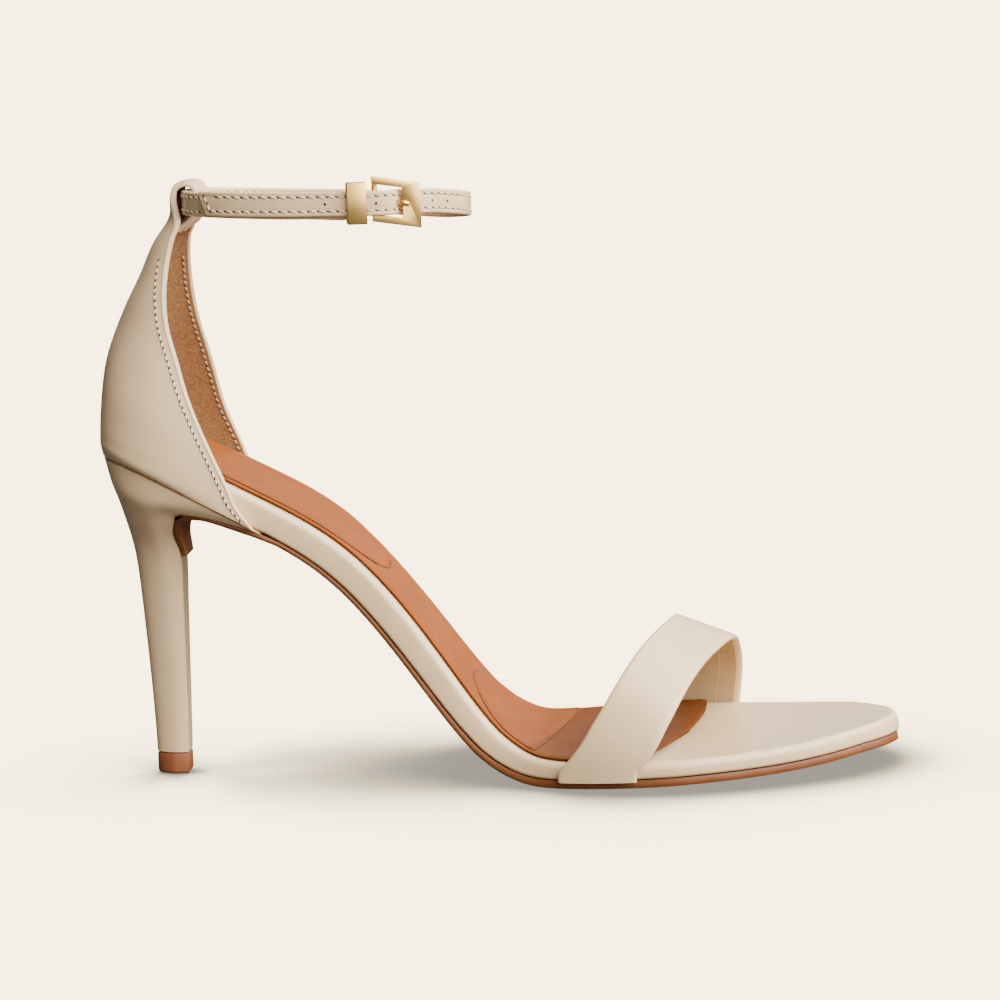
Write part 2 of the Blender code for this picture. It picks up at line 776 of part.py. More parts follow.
def make_counter(material, collection):
    """Hollow back of the upper: a thin wall round the heel that narrows to the loop on top."""
    reach = counter_reach()
    seat_back = sole_point(-SEAT_OVERHANG - reach, 0.0, 0.0)
    lip = sole_point(LIP_X - COUNTER_SETBACK, 0.0, 0.0)
    neck_z = SEAT_HEIGHT + COUNTER_RISE
    seat_half = SEAT_WIDTH / 2.0 + reach
    rings = [seat_ring()]
    count = len(COUNTER_SLICES)
    columns = [cubic(range(count), [row[column] for row in COUNTER_SLICES]) for column in range(8)]
    for step in range((count - 1) * COUNTER_STEPS + 1):
        values = [column(step / COUNTER_STEPS) for column in columns]
        back_x, back_z, lateral_x, medial_x, front_z, narrowing, squareness, wrap = values
        back = Vector((blend(seat_back.x, NECK_BACK_X, back_x), 0.0, blend(seat_back.z, neck_z, back_z)))
        front_height = blend(lip.z, neck_z, front_z)
        lateral = Vector((blend(lip.x, NECK_FRONT_LATERAL_X, lateral_x), 0.0, front_height))
        medial = Vector((blend(lip.x, NECK_FRONT_MEDIAL_X, medial_x), 0.0, front_height))
        middle = (lateral + medial) / 2.0 - back
        lean = math.degrees(math.atan2(middle.z, middle.x))
        half = blend(seat_half, NECK_WIDTH / 2.0, narrowing)
        curve = wrap_curve(wrap, squareness, half, (lateral - back).length, (medial - back).length)
        rings.append(counter_ring(back, lean, curve, COUNTER_WALL))
    rings += loop_rings()
    return loft("counter", rings, material, collection)


def ankle_back_x():
    """Middle of the strap's thickness at the back, just in front of the counter's neck."""
    return NECK_BACK_X + ANKLE_STAND


def buckle_x():
    """Place of the buckle's pin, set back from the front of the ankle strap."""
    return ankle_back_x() + ANKLE_LENGTH - BUCKLE_SETBACK


def keeper_x():
    """Place of the keeper, set back from the buckle's pin."""
    return buckle_x() - KEEPER_SETBACK


def ankle_point(angle, offset):
    """Point on the strap's oval in plan, moved out by an offset. 0 degrees is the front, 90 medial."""
    half_length = ANKLE_LENGTH / 2.0
    half_width_here = ANKLE_WIDTH / 2.0
    centre_x = ankle_back_x() + half_length

    def place(degrees):
        radians = math.radians(degrees)
        return Vector((centre_x + half_length * power(math.cos(radians), 2.0 / ANKLE_SQUARENESS),
                       half_width_here * power(math.sin(radians), 2.0 / ANKLE_SQUARENESS), 0.0))

    along = (place(angle + 0.5) - place(angle - 0.5)).normalized()
    outward = Vector((along.y, -along.x, 0.0))
    return place(angle) + outward * offset


def ankle_angle(x):
    """Angle on the lateral side of the oval at a place along X, between -180 and 0 degrees."""
    half_length = ANKLE_LENGTH / 2.0
    share = (x - ankle_back_x() - half_length) / half_length
    return -math.degrees(math.acos(power(share, ANKLE_SQUARENESS / 2.0)))


def side_frame(x, drop=0.0):
    """Matrix of a frame on the lateral side of the strap: X forward, Y inward, Z up."""
    angle = ankle_angle(x)
    origin = ankle_point(angle, 0.0)
    forward = (ankle_point(angle + 1.0, 0.0) - ankle_point(angle - 1.0, 0.0)).normalized()
    up = Vector((0.0, 0.0, 1.0))
    inward = up.cross(forward)
    rotation = Matrix((forward, inward, up)).transposed().to_4x4()
    origin.z = ankle_height() - drop
    return Matrix.Translation(origin) @ rotation


def buckle_matrix():
    """Frame of the buckle: its side bars fall towards the end bar while its pin stays upright."""
    slant = Matrix.Identity(4)
    slant[2][0] = -math.tan(math.radians(BUCKLE_SLANT))
    middle = Matrix.Translation((BUCKLE_LENGTH / 2.0 - BUCKLE_PIN_RADIUS, 0.0, 0.0))
    return side_frame(buckle_x(), BUCKLE_DROP) @ middle @ slant @ middle.inverted()


def buckle_bar():
    """Place of the end bar's near edge along the buckle, from the middle of the pin."""
    return BUCKLE_LENGTH - BUCKLE_PIN_RADIUS - BUCKLE_END_BAR


def strap_route():
    """Middle line of the strap as (point, thickness, width), from its fold on the buckle to its tip."""
    buckle = side_frame(buckle_x())
    level = ankle_height()
    fold_radius = BUCKLE_PIN_RADIUS + GAP + STRAP_FOLD / 2.0
    lift = STRAP_THICKNESS + GAP
    route = []

    def fold(along, outward, low=STRAP_FOLD_DROP, thickness=STRAP_FOLD, width=STRAP_FOLD_WIDTH):
        point = buckle @ Vector((along, -BUCKLE_PIN_STAND - outward, -low))
        route.append((point, thickness, width))

    def band(along, outward):
        point = buckle @ Vector((along, -outward, -BUCKLE_DROP))
        route.append((point, STRAP_THICKNESS, STRAP_WIDTH))

    fold(-fold_radius * 1.7, fold_radius)
    fold(-fold_radius * 0.85, fold_radius)
    for degrees in range(90, -91, -30):
        radians = math.radians(degrees)
        fold(fold_radius * math.cos(radians), fold_radius * math.sin(radians))
    fold(-fold_radius, -fold_radius)
    fold(-fold_radius * 2.7, -fold_radius * 0.7, blend(STRAP_FOLD_DROP, UNDERLAP_DROP, 0.4),
         blend(STRAP_FOLD, STRAP_THICKNESS, 0.6), blend(STRAP_FOLD_WIDTH, STRAP_WIDTH, 0.6))
    dips = cubic([row[0] for row in ANKLE_DIPS], [row[1] for row in ANKLE_DIPS], 0.0, 0.0)
    start = ankle_angle(keeper_x() - KEEPER_LENGTH / 2.0)
    for angle in np.linspace(start, -177.0, 12):
        share = (angle - start) / (-180.0 - start)
        point = ankle_point(angle, 0.0)
        point.z = level - UNDERLAP_DROP * (1.0 - share) ** 2
        route.append((point, STRAP_THICKNESS, STRAP_WIDTH))
    front_end = ankle_angle(buckle_x() + BUCKLE_LENGTH + STRAP_THICKNESS * 2.0)
    for angle in np.linspace(172.0, front_end, 26):
        point = ankle_point(angle, 0.0)
        point.z = level - ANKLE_DIP * dips(angle)
        route.append((point, STRAP_THICKNESS, STRAP_WIDTH))
    bar = buckle_bar()
    over = BUCKLE_PIN_STAND + BUCKLE_PIN_RADIUS + 2.0 * PRONG_RADIUS + GAP * 1.5 + STRAP_THICKNESS / 2.0
    under = BUCKLE_STAND - GAP - STRAP_THICKNESS / 2.0
    band(bar + BUCKLE_END_BAR + GAP * 2.0, under * 0.8)
    for share, depth in STRAP_CLIMB:
        band(bar * share, blend(under, over, depth))
    band(-fold_radius * 1.6, blend(lift, over, 0.80))
    tip_start = ankle_angle(buckle_x() - fold_radius * 3.6)
    tip_end = ankle_angle(buckle_x() - STRAP_TIP_SETBACK)
    for angle in np.linspace(tip_start, tip_end, 12):
        share = (angle - tip_start) / (tip_end - tip_start)
        point = ankle_point(angle, blend(lift, over, max(0.0, 0.45 - 2.2 * share)))
        point.z = level + blend(-BUCKLE_DROP, GAP, share)
        route.append((point, STRAP_THICKNESS, STRAP_WIDTH))
    return route


def make_ankle_strap(material, collection):
    """One long band: folded on the buckle, through the loop, round the ankle and through the buckle."""
    route = strap_route()
    points = [entry[0] for entry in route]
    rings = []
    for index, (point, thickness, width) in enumerate(route):
        before = points[max(index - 1, 0)]
        after = points[min(index + 1, len(points) - 1)]
        along = after - before
        along.z = 0.0
        along.normalize()
        outward = Vector((-along.y, along.x, 0.0)) * (thickness / 2.0)
        up = Vector((0.0, 0.0, width / 2.0))
        slant = Vector((0.0, 0.0, 0.0))
        if index == len(route) - 1:
            slant = along * STRAP_TIP_SLANT / 2.0
        rings.append([point - outward - up - slant, point - outward + up + slant,
                      point + outward + up + slant, point + outward - up - slant])
    return loft("ankle_strap", rings, material, collection)


def tube(name, points, radius, material, collection, matrix):
    """Round bar along a path of straight steps, with filled caps, as a closed mesh."""
    curve = bpy.data.curves.new(name, "CURVE")
    curve.dimensions = "3D"
    curve.bevel_depth = radius
    curve.bevel_resolution = 2
    curve.use_fill_caps = True
    spline = curve.splines.new("POLY")
    spline.points.add(len(points) - 1)
    for target, point in zip(spline.points, points):
        target.co = (*(matrix @ Vector(point)), 1.0)
    holder = bpy.data.objects.new(name + "_curve", curve)
    collection.objects.link(holder)
    bpy.context.view_layer.update()
    mesh = bpy.data.meshes.new_from_object(holder.evaluated_get(bpy.context.evaluated_depsgraph_get()))
    bpy.data.objects.remove(holder, do_unlink=True)
    mesh.materials.clear()
    build = bmesh.new()
    build.from_mesh(mesh)
    bmesh.ops.remove_doubles(build, verts=build.verts, dist=0.00001)
    bmesh.ops.recalc_face_normals(build, faces=build.faces)
    build.to_mesh(mesh)
    build.free()
    mesh.name = name
    return finish_mesh(name, mesh, material, collection)


def block(name, low, high, matrix, material, collection, bevel=0.0):
    """Box between two corners of a local frame, with an optional small bevel."""
    build = bmesh.new()
    bmesh.ops.create_cube(build, size=1.0)
    size = Vector(high) - Vector(low)
    middle = (Vector(high) + Vector(low)) / 2.0
    bmesh.ops.scale(build, vec=size, verts=build.verts)
    bmesh.ops.translate(build, vec=middle, verts=build.verts)
    bmesh.ops.transform(build, matrix=matrix, verts=build.verts)
    mesh = bpy.data.meshes.new(name)
    build.to_mesh(mesh)
    build.free()
    item = finish_mesh(name, mesh, material, collection)
    if bevel:
        edge = item.modifiers.new("edges", "BEVEL")
        edge.width = bevel
        edge.segments = 1
        edge.limit_method = "ANGLE"
    return item


def cut(target, cutter, operation="DIFFERENCE"):
    """Boolean of the target with a hidden cutter, kept as a modifier."""
    step = target.modifiers.new(cutter.name, "BOOLEAN")
    step.operation = operation
    step.solver = "EXACT"
    step.object = cutter
    cutter.hide_render = True
    cutter.display_type = "WIRE"


def prong_path():
    """Path of the prong: over the end bar, through the strap's hole and round the pin."""
    pin = BUCKLE_PIN_STAND
    eye = BUCKLE_PIN_RADIUS + GAP * 0.8 + PRONG_RADIUS
    face = BUCKLE_STAND + BUCKLE_THICKNESS
    bar = buckle_bar()
    path = [(PRONG_REACH, face + GAP), (bar + GAP, face + GAP), (bar * 0.88, face - GAP * 0.4),
            (bar * 0.70, face - GAP * 2.6), (bar * 0.51, pin + GAP * 1.6), (eye + GAP * 2.6, pin + GAP)]
    for degrees in range(40, 321, 40):
        radians = math.radians(degrees)
        path.append((eye * math.cos(radians), pin + eye * math.sin(radians)))
    return [(along, -outward, 0.0) for along, outward in path]


def make_buckle(material, collection, cutters):
    """Square frame with a wide end bar, and a round pin that the strap and the prong are folded on."""
    matrix = buckle_matrix()
    half = BUCKLE_HEIGHT / 2.0
    inner = -BUCKLE_STAND
    outer = inner - BUCKLE_THICKNESS
    bar = buckle_bar()
    frame = block("buckle_frame", (-BUCKLE_PIN_RADIUS, outer, -half), (bar + BUCKLE_END_BAR, inner, half),
                  matrix, material, collection, BUCKLE_BEVEL)
    opening = block("buckle_opening", (-BUCKLE_PIN_RADIUS * 4.0, outer * 2.0, -half + BUCKLE_SIDE_BAR),
                    (bar, BUCKLE_THICKNESS, half - BUCKLE_SIDE_BAR), matrix, material, cutters)
    cut(frame, opening)
    notch = tube("prong_notch", [(bar * 0.86, outer, 0.0), (PRONG_REACH + GAP, outer, 0.0)],
                 PRONG_RADIUS + GAP, material, cutters, matrix)
    cut(frame, notch)
    pin_end = half - BUCKLE_SIDE_BAR / 2.0
    pin = tube("buckle_pin", [(0.0, -BUCKLE_PIN_STAND, -pin_end), (0.0, -BUCKLE_PIN_STAND, pin_end)],
               BUCKLE_PIN_RADIUS, material, cutters, matrix)
    cut(frame, pin, "UNION")
    return matrix


def make_prong_holes(strap, material, matrix, cutters):
    """Hole that the prong comes through, and slot in the strap's fold for the prong's eye."""
    room = PRONG_RADIUS + GAP
    hole = tube("prong_hole", prong_path()[1:6], room, material, cutters, matrix)
    cut(strap, hole)
    eye = BUCKLE_PIN_RADIUS + PRONG_RADIUS + GAP
    slot = block("fold_slot", (-eye * 1.5, -BUCKLE_PIN_STAND - eye * 1.45, -room),
                 (eye * 1.6, -BUCKLE_PIN_STAND + eye * 1.45, room), matrix, material, cutters)
    cut(strap, slot)


def make_keeper(material, collection, cutters):
    """Plain metal keeper round both layers of the strap."""
    matrix = side_frame(keeper_x(), KEEPER_DROP)
    half_length = KEEPER_LENGTH / 2.0
    half_height = KEEPER_HEIGHT / 2.0
    inner = STRAP_THICKNESS / 2.0 + GAP * 2.0
    outer = -(STRAP_THICKNESS * 1.5 + GAP * 5.7)
    low = (-half_length, outer - KEEPER_WALL, -half_height)
    high = (half_length, inner + KEEPER_WALL, half_height)
    keeper = block("strap_keeper", low, high, matrix, material, collection, BUCKLE_BEVEL)
    hole = block("keeper_hole", (-KEEPER_LENGTH, outer, -half_height + KEEPER_WALL),
                 (KEEPER_LENGTH, inner, half_height - KEEPER_WALL), matrix, material, cutters)
    cut(keeper, hole)


def toe_strap_grid():
    """Outer points of the toe strap, rib by rib from the lateral foot, each from back to front."""
    places = [row[0] for row in TOE_STRAP_RIBS]
    backs = cubic(places, [row[1] for row in TOE_STRAP_RIBS])
    fronts = cubic(places, [row[2] for row in TOE_STRAP_RIBS])
    lateral_front = TOE_STRAP_FOOT_LATERAL_X + TOE_STRAP_FOOT_LATERAL_LENGTH
    medial_front = TOE_STRAP_FOOT_MEDIAL_X + TOE_STRAP_FOOT_MEDIAL_LENGTH
    grid = []
    for turn in np.linspace(0.0, 180.0, TOE_STRAP_TURNS):
        radians = math.radians(turn)
        rise = power(math.sin(radians), 2.0 / ARCH_SQUARENESS)
        cosine = power(math.cos(radians), 2.0 / ARCH_SQUARENESS)
        side = -1 if turn < 90.0 else 1
        back = blend(TOE_STRAP_FOOT_LATERAL_X, TOE_STRAP_FOOT_MEDIAL_X, backs(turn))
        front = blend(lateral_front, medial_front, fronts(turn))
        rib = []
        for share in np.linspace(0.0, 1.0, TOE_STRAP_COLUMNS):
            x = blend(back, front, share)
            half = half_width(x, side) + GAP + TOE_STRAP_WALL
            foot = sole_point(x, 0.0, BOARD_FOREPART * 0.45, 1.0).z
            top = blend(TOE_STRAP_BACK_RISE, TOE_STRAP_FRONT_RISE, share)
            rib.append(Vector((x, -half * cosine, blend(foot, top, rise))))
        grid.append(rib)
    return grid


def toe_strap_foot(rib):
    """Lower edge of the strap's foot, straight below the arch's end."""
    lower = []
    for point in rib:
        base = sole_point(point.x, 0.0, -GAP, 1.0)
        lower.append(Vector((point.x, point.y, base.z)))
    return lower


def make_toe_strap(material, collection):
    """Wide band over the toes, a thin wall from foot to foot that hugs the board's sides."""
    grid = toe_strap_grid()
    grid = [toe_strap_foot(grid[0])] + grid + [toe_strap_foot(grid[-1])]
    last = TOE_STRAP_COLUMNS - 1
    rings = []
    for number, outer in enumerate(grid):
        before = grid[max(number - 1, 0)]
        after = grid[min(number + 1, len(grid) - 1)]
        inner = []
        for column, point in enumerate(outer):
            along = after[column] - before[column]
            sideways = outer[min(column + 1, last)] - outer[max(column - 1, 0)]
            inner.append(point + along.cross(sideways).normalized() * TOE_STRAP_WALL)
        rings.append(outer + inner[::-1])
    return loft("toe_strap", rings, material, collection)


def main():
    """Build every piece of the shoe."""
    clear_scene()
    shoe = bpy.data.collections.new("heeled_sandal")
    cutters = bpy.data.collections.new("cutters")
    bpy.context.scene.collection.children.link(shoe)
    bpy.context.scene.collection.children.link(cutters)
    make_outsole(tan_leather(), shoe)
    make_board(cream_leather(), shoe)
    make_sock(tan_leather(), shoe)
    make_heel(cream_leather(), shoe)
    make_heel_tip(tan_leather(), shoe)
    make_counter(cream_leather(), shoe)
    make_toe_strap(cream_leather(), shoe)
    strap = make_ankle_strap(cream_leather(), shoe)
    gold = gold_metal()
    matrix = make_buckle(gold, shoe, cutters)
    tube("buckle_prong", prong_path(), PRONG_RADIUS, gold, shoe, matrix)
    make_keeper(gold, shoe, cutters)
    make_prong_holes(strap, gold, matrix, cutters)


main()
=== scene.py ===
"""Dressed heeled sandal: leather, suede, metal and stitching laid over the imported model.

Metres, +Z up, +X to the toe, -Y to the outer side of the foot. The shape tables and functions are the
same as in the part's own source, divided more finely, so that every piece sits where the model says.
"""

import math

import bmesh
import bpy
import numpy as np
from mathutils import Matrix, Vector


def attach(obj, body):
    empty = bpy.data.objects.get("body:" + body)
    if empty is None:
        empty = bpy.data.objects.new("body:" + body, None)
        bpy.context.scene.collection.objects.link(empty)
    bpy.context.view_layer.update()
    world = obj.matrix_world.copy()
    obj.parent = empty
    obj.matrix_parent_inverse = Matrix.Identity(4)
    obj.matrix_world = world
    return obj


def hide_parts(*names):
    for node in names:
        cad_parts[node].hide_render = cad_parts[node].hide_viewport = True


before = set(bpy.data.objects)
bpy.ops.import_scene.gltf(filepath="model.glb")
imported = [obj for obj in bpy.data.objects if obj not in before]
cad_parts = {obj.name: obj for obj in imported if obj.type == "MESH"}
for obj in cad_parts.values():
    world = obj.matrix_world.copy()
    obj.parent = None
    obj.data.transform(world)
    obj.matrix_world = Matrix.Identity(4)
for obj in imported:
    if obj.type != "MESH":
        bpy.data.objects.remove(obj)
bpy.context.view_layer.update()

# Clearance between pieces that touch
GAP = 0.0003

# Sole seen from above: how far the seat's back stands behind the origin, places along X, and widths
# of the covered board
SEAT_OVERHANG = 0.0129
LIP_X = 0.0305
LIP_EASE = 0.0045
BALL_X = 0.140
TOE_X = 0.2028
SEAT_WIDTH = 0.0462
WAIST_WIDTH = 0.0393
BALL_WIDTH = 0.0764
SEAT_SQUARENESS = 2.7
TOE_SQUARENESS = 1.85
TOE_TAPER = 1.45

# Sole seen from the side: heights of the underside of the board
SEAT_HEIGHT = 0.0912
TOE_SPRING = 0.0066
EDGE_LIFT = 0.0011
FLAT_SHARE = 0.45

# Layers of the sole
OUTSOLE_FOREPART = 0.0023
OUTSOLE_SHANK = 0.0016
OUTSOLE_INSET = 0.0002
OUTSOLE_CHAMFER = 0.0007
BOARD_SHANK = 0.0072
BOARD_FOREPART = 0.0049
BOARD_ROUND = 0.0022
BOARD_CHAMFER = 0.0009
SOCK_THICKNESS = 0.0009
SOCK_INSET = 0.0016
SOCK_FRONT_LATERAL_X = 0.129
SOCK_FRONT_MEDIAL_X = 0.1500

# Heel and its tip
HEEL_TIP_HEIGHT = 0.0060
HEEL_TIP_DEPTH = 0.0094
HEEL_TIP_WIDTH = 0.0086
HEEL_TIP_BEVEL = 0.0004
BREAST_WIDTH = 0.0070

# Back of the upper
COUNTER_WALL = 0.0020
COUNTER_RISE = 0.0626
COUNTER_SETBACK = 0.0020
NECK_BACK_X = 0.0046
NECK_FRONT_LATERAL_X = 0.0088
NECK_FRONT_MEDIAL_X = 0.0109
NECK_WIDTH = 0.0168

# Ankle strap, along the middle of its thickness
ANKLE_STAND = 0.0060
ANKLE_LENGTH = 0.0773
ANKLE_WIDTH = 0.0550
ANKLE_SQUARENESS = 2.3
ANKLE_RISE = 0.0686
ANKLE_DIP = 0.0042
UNDERLAP_DROP = 0.0016
STRAP_WIDTH = 0.0066
STRAP_THICKNESS = 0.0017
STRAP_FOLD = 0.0007
STRAP_FOLD_WIDTH = 0.0050
STRAP_FOLD_DROP = 0.0006
STRAP_TIP_SLANT = 0.0030
STRAP_TIP_SETBACK = 0.0450

# Loop at the top of the counter that carries the ankle strap
LOOP_WIDTH = 0.0150
LOOP_WALL = 0.0017
LOOP_SLACK = 0.0014

# Buckle and keeper
BUCKLE_SETBACK = 0.0229
BUCKLE_LENGTH = 0.0129
BUCKLE_HEIGHT = 0.0120
BUCKLE_SLANT = 9.5
BUCKLE_DROP = 0.0006
BUCKLE_THICKNESS = 0.0017
BUCKLE_END_BAR = 0.0048
BUCKLE_SIDE_BAR = 0.0020
BUCKLE_PIN_RADIUS = 0.00075
BUCKLE_PIN_STAND = 0.0004
BUCKLE_STAND = 0.00017
PRONG_RADIUS = 0.0005
PRONG_REACH = 0.0090
KEEPER_SETBACK = 0.0048
KEEPER_LENGTH = 0.0054
KEEPER_HEIGHT = 0.0110
KEEPER_WALL = 0.0008
KEEPER_DROP = 0.0005

# Toe strap
TOE_STRAP_WALL = 0.0018
TOE_STRAP_BACK_RISE = 0.0412
TOE_STRAP_FRONT_RISE = 0.0346
TOE_STRAP_FOOT_LATERAL_X = 0.1090
TOE_STRAP_FOOT_MEDIAL_X = 0.1400
TOE_STRAP_FOOT_LATERAL_LENGTH = 0.0215
TOE_STRAP_FOOT_MEDIAL_LENGTH = 0.0193

# How finely the lofts are divided
HEEL_STEPS = 10
COUNTER_STEPS = 2
COUNTER_POINTS = 61
TOE_STRAP_TURNS = 121
TOE_STRAP_COLUMNS = 37

# Underside of the board: share of the way from the seat's back to the toe, and of the seat's height
SOLE_PROFILE = (
    # along, height
    (0.000, 1.000),
    (0.106, 0.899),
    (0.199, 0.782),
    (0.292, 0.628),
    (0.384, 0.364),
    (0.468, 0.114),
    (0.523, 0.0345),
    (0.588, 0.0226),
    (0.732, 0.0406),
    (0.871, 0.0580),
)
SEAT_SLOPE = -0.20
TOE_SLOPE = 0.16

# Plan of the waist between the lip and the ball: half widths as shares of the width they follow
WAIST_PLAN = (
    # along, size, lateral, medial
    (0.329, "waist", 0.560, 0.435),
    (0.384, "waist", 0.565, 0.480),
    (0.439, "ball", 0.309, 0.302),
    (0.495, "ball", 0.348, 0.385),
    (0.551, "ball", 0.404, 0.440),
    (0.606, "ball", 0.455, 0.473),
    (0.662, "ball", 0.490, 0.495),
)

# Thickness of the board and the outsole: 0 as at the forepart, 1 as at the shank
LAYER_BLEND = (
    # along, board, outsole
    (0.000, 1.00, 1.00),
    (0.424, 1.00, 1.00),
    (0.467, 0.76, 0.70),
    (0.504, 0.50, 0.35),
    (0.537, 0.20, 0.05),
    (0.574, 0.02, 0.00),
    (1.000, 0.00, 0.00),
)

# Heel: each row is a slice from its back edge to its front edge. The places are shares of the way
# from the tip to the seat at the back, and from the tip to the lip in front
HEEL_SLICES = (
    # back_x, back_z, front_x, front_z, front_half, widest_half, squareness
    (0.000, 0.000, 0.000, 0.000, 0.000, 0.000, 2.0),
    (0.045, 0.160, 0.012, 0.212, 0.010, 0.015, 2.0),
    (0.155, 0.395, 0.022, 0.525, 0.045, 0.063, 2.0),
    (0.250, 0.560, 0.030, 0.745, 0.085, 0.132, 2.0),
    (0.325, 0.655, 0.026, 0.866, 0.120, 0.200, 2.1),
    (0.430, 0.728, -0.008, 0.933, 0.240, 0.325, 2.2),
    (0.565, 0.797, -0.016, 0.984, 0.395, 0.495, 2.3),
    (0.700, 0.862, 0.022, 1.033, 0.560, 0.655, 2.45),
    (0.825, 0.914, 0.143, 1.070, 0.735, 0.810, 2.6),
    (0.925, 0.956, 0.365, 1.080, 0.885, 0.920, 2.75),
    (0.975, 0.979, 0.668, 1.047, 0.970, 0.975, 2.9),
)

# Counter: each row is a slice from its back to its two front edges. The places are shares of the way
# from the seat to the neck at the back, and from the lip to the neck in front
COUNTER_SLICES = (
    # back_x, back_z, lateral_x, medial_x, front_z, narrowing, squareness, wrap
    (-0.014, 0.058, 0.213, 0.238, 0.069, 0.000, 3.0, 90.0),
    (-0.010, 0.121, 0.355, 0.398, 0.153, 0.020, 2.9, 90.0),
    (0.005, 0.201, 0.518, 0.540, 0.240, 0.060, 2.7, 90.0),
    (0.034, 0.297, 0.695, 0.710, 0.337, 0.125, 2.5, 90.0),
    (0.082, 0.393, 0.870, 0.822, 0.446, 0.225, 2.3, 88.0),
    (0.173, 0.489, 1.000, 0.926, 0.556, 0.355, 2.15, 86.0),
    (0.298, 0.585, 1.118, 1.030, 0.653, 0.490, 2.0, 84.0),
    (0.455, 0.688, 1.165, 1.097, 0.751, 0.615, 2.0, 81.0),
    (0.630, 0.792, 1.150, 1.117, 0.842, 0.740, 2.0, 77.0),
    (0.793, 0.904, 1.090, 1.092, 0.931, 0.870, 2.0, 73.0),
    (1.000, 1.000, 1.000, 1.000, 1.000, 1.000, 2.0, 68.0),
)

# Loop: places are shares of its half depth and half height around the strap inside it, the turn is
# the way its inner face looks, the bow is how far its edges stand from its middle, and the bow and
# the width are shares of the loop's width
LOOP_SLICES = (
    # forward, up, turn, bow, wrap, width
    (-1.12, -0.50, 4.0, 0.140, 60.0, 1.00),
    (-1.08, 0.05, -8.0, 0.080, 50.0, 1.00),
    (-0.93, 0.54, -28.0, 0.053, 45.0, 1.00),
    (-0.62, 0.90, -58.0, 0.033, 40.0, 1.00),
    (-0.10, 1.05, -90.0, 0.013, 40.0, 1.00),
    (0.42, 0.98, -122.0, -0.020, 40.0, 1.00),
    (0.82, 0.68, -150.0, -0.053, 40.0, 1.00),
    (0.97, 0.15, -175.0, -0.053, 40.0, 0.98),
    (0.92, -0.32, -196.0, -0.047, 40.0, 0.92),
    (0.66, -0.72, -222.0, -0.047, 45.0, 0.82),
    (0.24, -1.00, -236.0, -0.060, 50.0, 0.72),
    (-0.20, -1.16, -232.0, -0.073, 55.0, 0.63),
    (-0.62, -1.35, -220.0, -0.087, 60.0, 0.56),
)

# Height of the ankle strap round the ankle, as shares of its dip, by the angle from the front
ANKLE_DIPS = (
    # angle, dip
    (-90.0, 0.00),
    (-45.0, 0.15),
    (-15.0, 0.50),
    (15.0, 0.85),
    (45.0, 1.00),
    (75.0, 0.75),
    (120.0, 0.32),
    (180.0, 0.00),
)

# Climb of the ankle strap through the buckle, from under its end bar to over its pin: along is a share
# of the opening's length and depth a share of the way from under the frame to over the pin
STRAP_CLIMB = (
    # along, depth
    (1.41, 0.00),
    (1.08, 0.00),
    (0.92, 0.07),
    (0.77, 0.33),
    (0.63, 0.66),
    (0.47, 0.86),
    (0.22, 0.98),
    (0.00, 1.00),
)

# Toe strap: each row is a rib of the band, from the lateral foot over the arch to the medial foot.
# Back and front are shares of the way between the two feet, turn is the angle along each arch
TOE_STRAP_RIBS = (
    # turn, back, front
    (0.0, 0.000, 0.000),
    (8.0, 0.155, 0.146),
    (18.0, 0.290, 0.253),
    (30.0, 0.432, 0.365),
    (42.0, 0.560, 0.470),
    (55.0, 0.690, 0.585),
    (70.0, 0.840, 0.725),
    (90.0, 1.000, 0.890),
    (110.0, 1.060, 0.985),
    (128.0, 1.085, 1.020),
    (143.0, 1.080, 1.040),
    (157.0, 1.060, 1.040),
    (170.0, 1.030, 1.020),
    (180.0, 1.000, 1.000),
)
ARCH_SQUARENESS = 2.15


def cubic(places, values, start_slope=None, end_slope=None):
    """Smooth curve through a table's column, as a function of its first column."""
    places = np.asarray(places, float)
    values = np.asarray(values, float)
    count = len(places)
    step = np.diff(places)
    system = np.zeros((count, count))
    right = np.zeros(count)
    for row in range(1, count - 1):
        before = 1.0 / step[row - 1]
        after = 1.0 / step[row]
        system[row, row - 1:row + 2] = before, 2.0 * (before + after), after
        right[row] = 3.0 * ((values[row] - values[row - 1]) * before ** 2
                            + (values[row + 1] - values[row]) * after ** 2)
    ends = ((0, 1, start_slope), (count - 1, count - 2, end_slope))
    for end, neighbour, slope in ends:
        system[end, end] = 1.0
        if slope is None:
            system[end, neighbour] = 0.5
            right[end] = 1.5 * (values[end] - values[neighbour]) / (places[end] - places[neighbour])
        else:
            right[end] = slope
    slopes = np.linalg.solve(system, right)

    def curve(place):
        index = int(np.clip(np.searchsorted(places, place) - 1, 0, count - 2))
        share = (place - places[index]) / step[index]
        rest = 1.0 - share
        return float(values[index] * (1.0 + 2.0 * share) * rest ** 2
                     + values[index + 1] * share ** 2 * (3.0 - 2.0 * share)
                     + step[index] * (slopes[index] * share * rest ** 2
                                      - slopes[index + 1] * rest * share ** 2))

    return curve



def blend(low, high, share):
    """Value a share of the way from one size to another."""
    return low + (high - low) * share



def power(value, exponent):
    """Power that keeps the sign of its base."""
    return math.copysign(abs(value) ** exponent, value)



SOLE_LENGTH = TOE_X + SEAT_OVERHANG



def sole_x(along):
    """Place along X at a share of the way from the seat's back to the toe."""
    return blend(-SEAT_OVERHANG, TOE_X, along)



def make_sole_height():
    """Height of the board's underside along X, with the toe spring as its last point."""
    places = [sole_x(along) for along, height in SOLE_PROFILE] + [TOE_X]
    heights = [SEAT_HEIGHT * height for along, height in SOLE_PROFILE]
    heights.append(OUTSOLE_FOREPART + TOE_SPRING)
    return cubic(places, heights, SEAT_SLOPE, TOE_SLOPE)



SOLE_HEIGHT = make_sole_height()



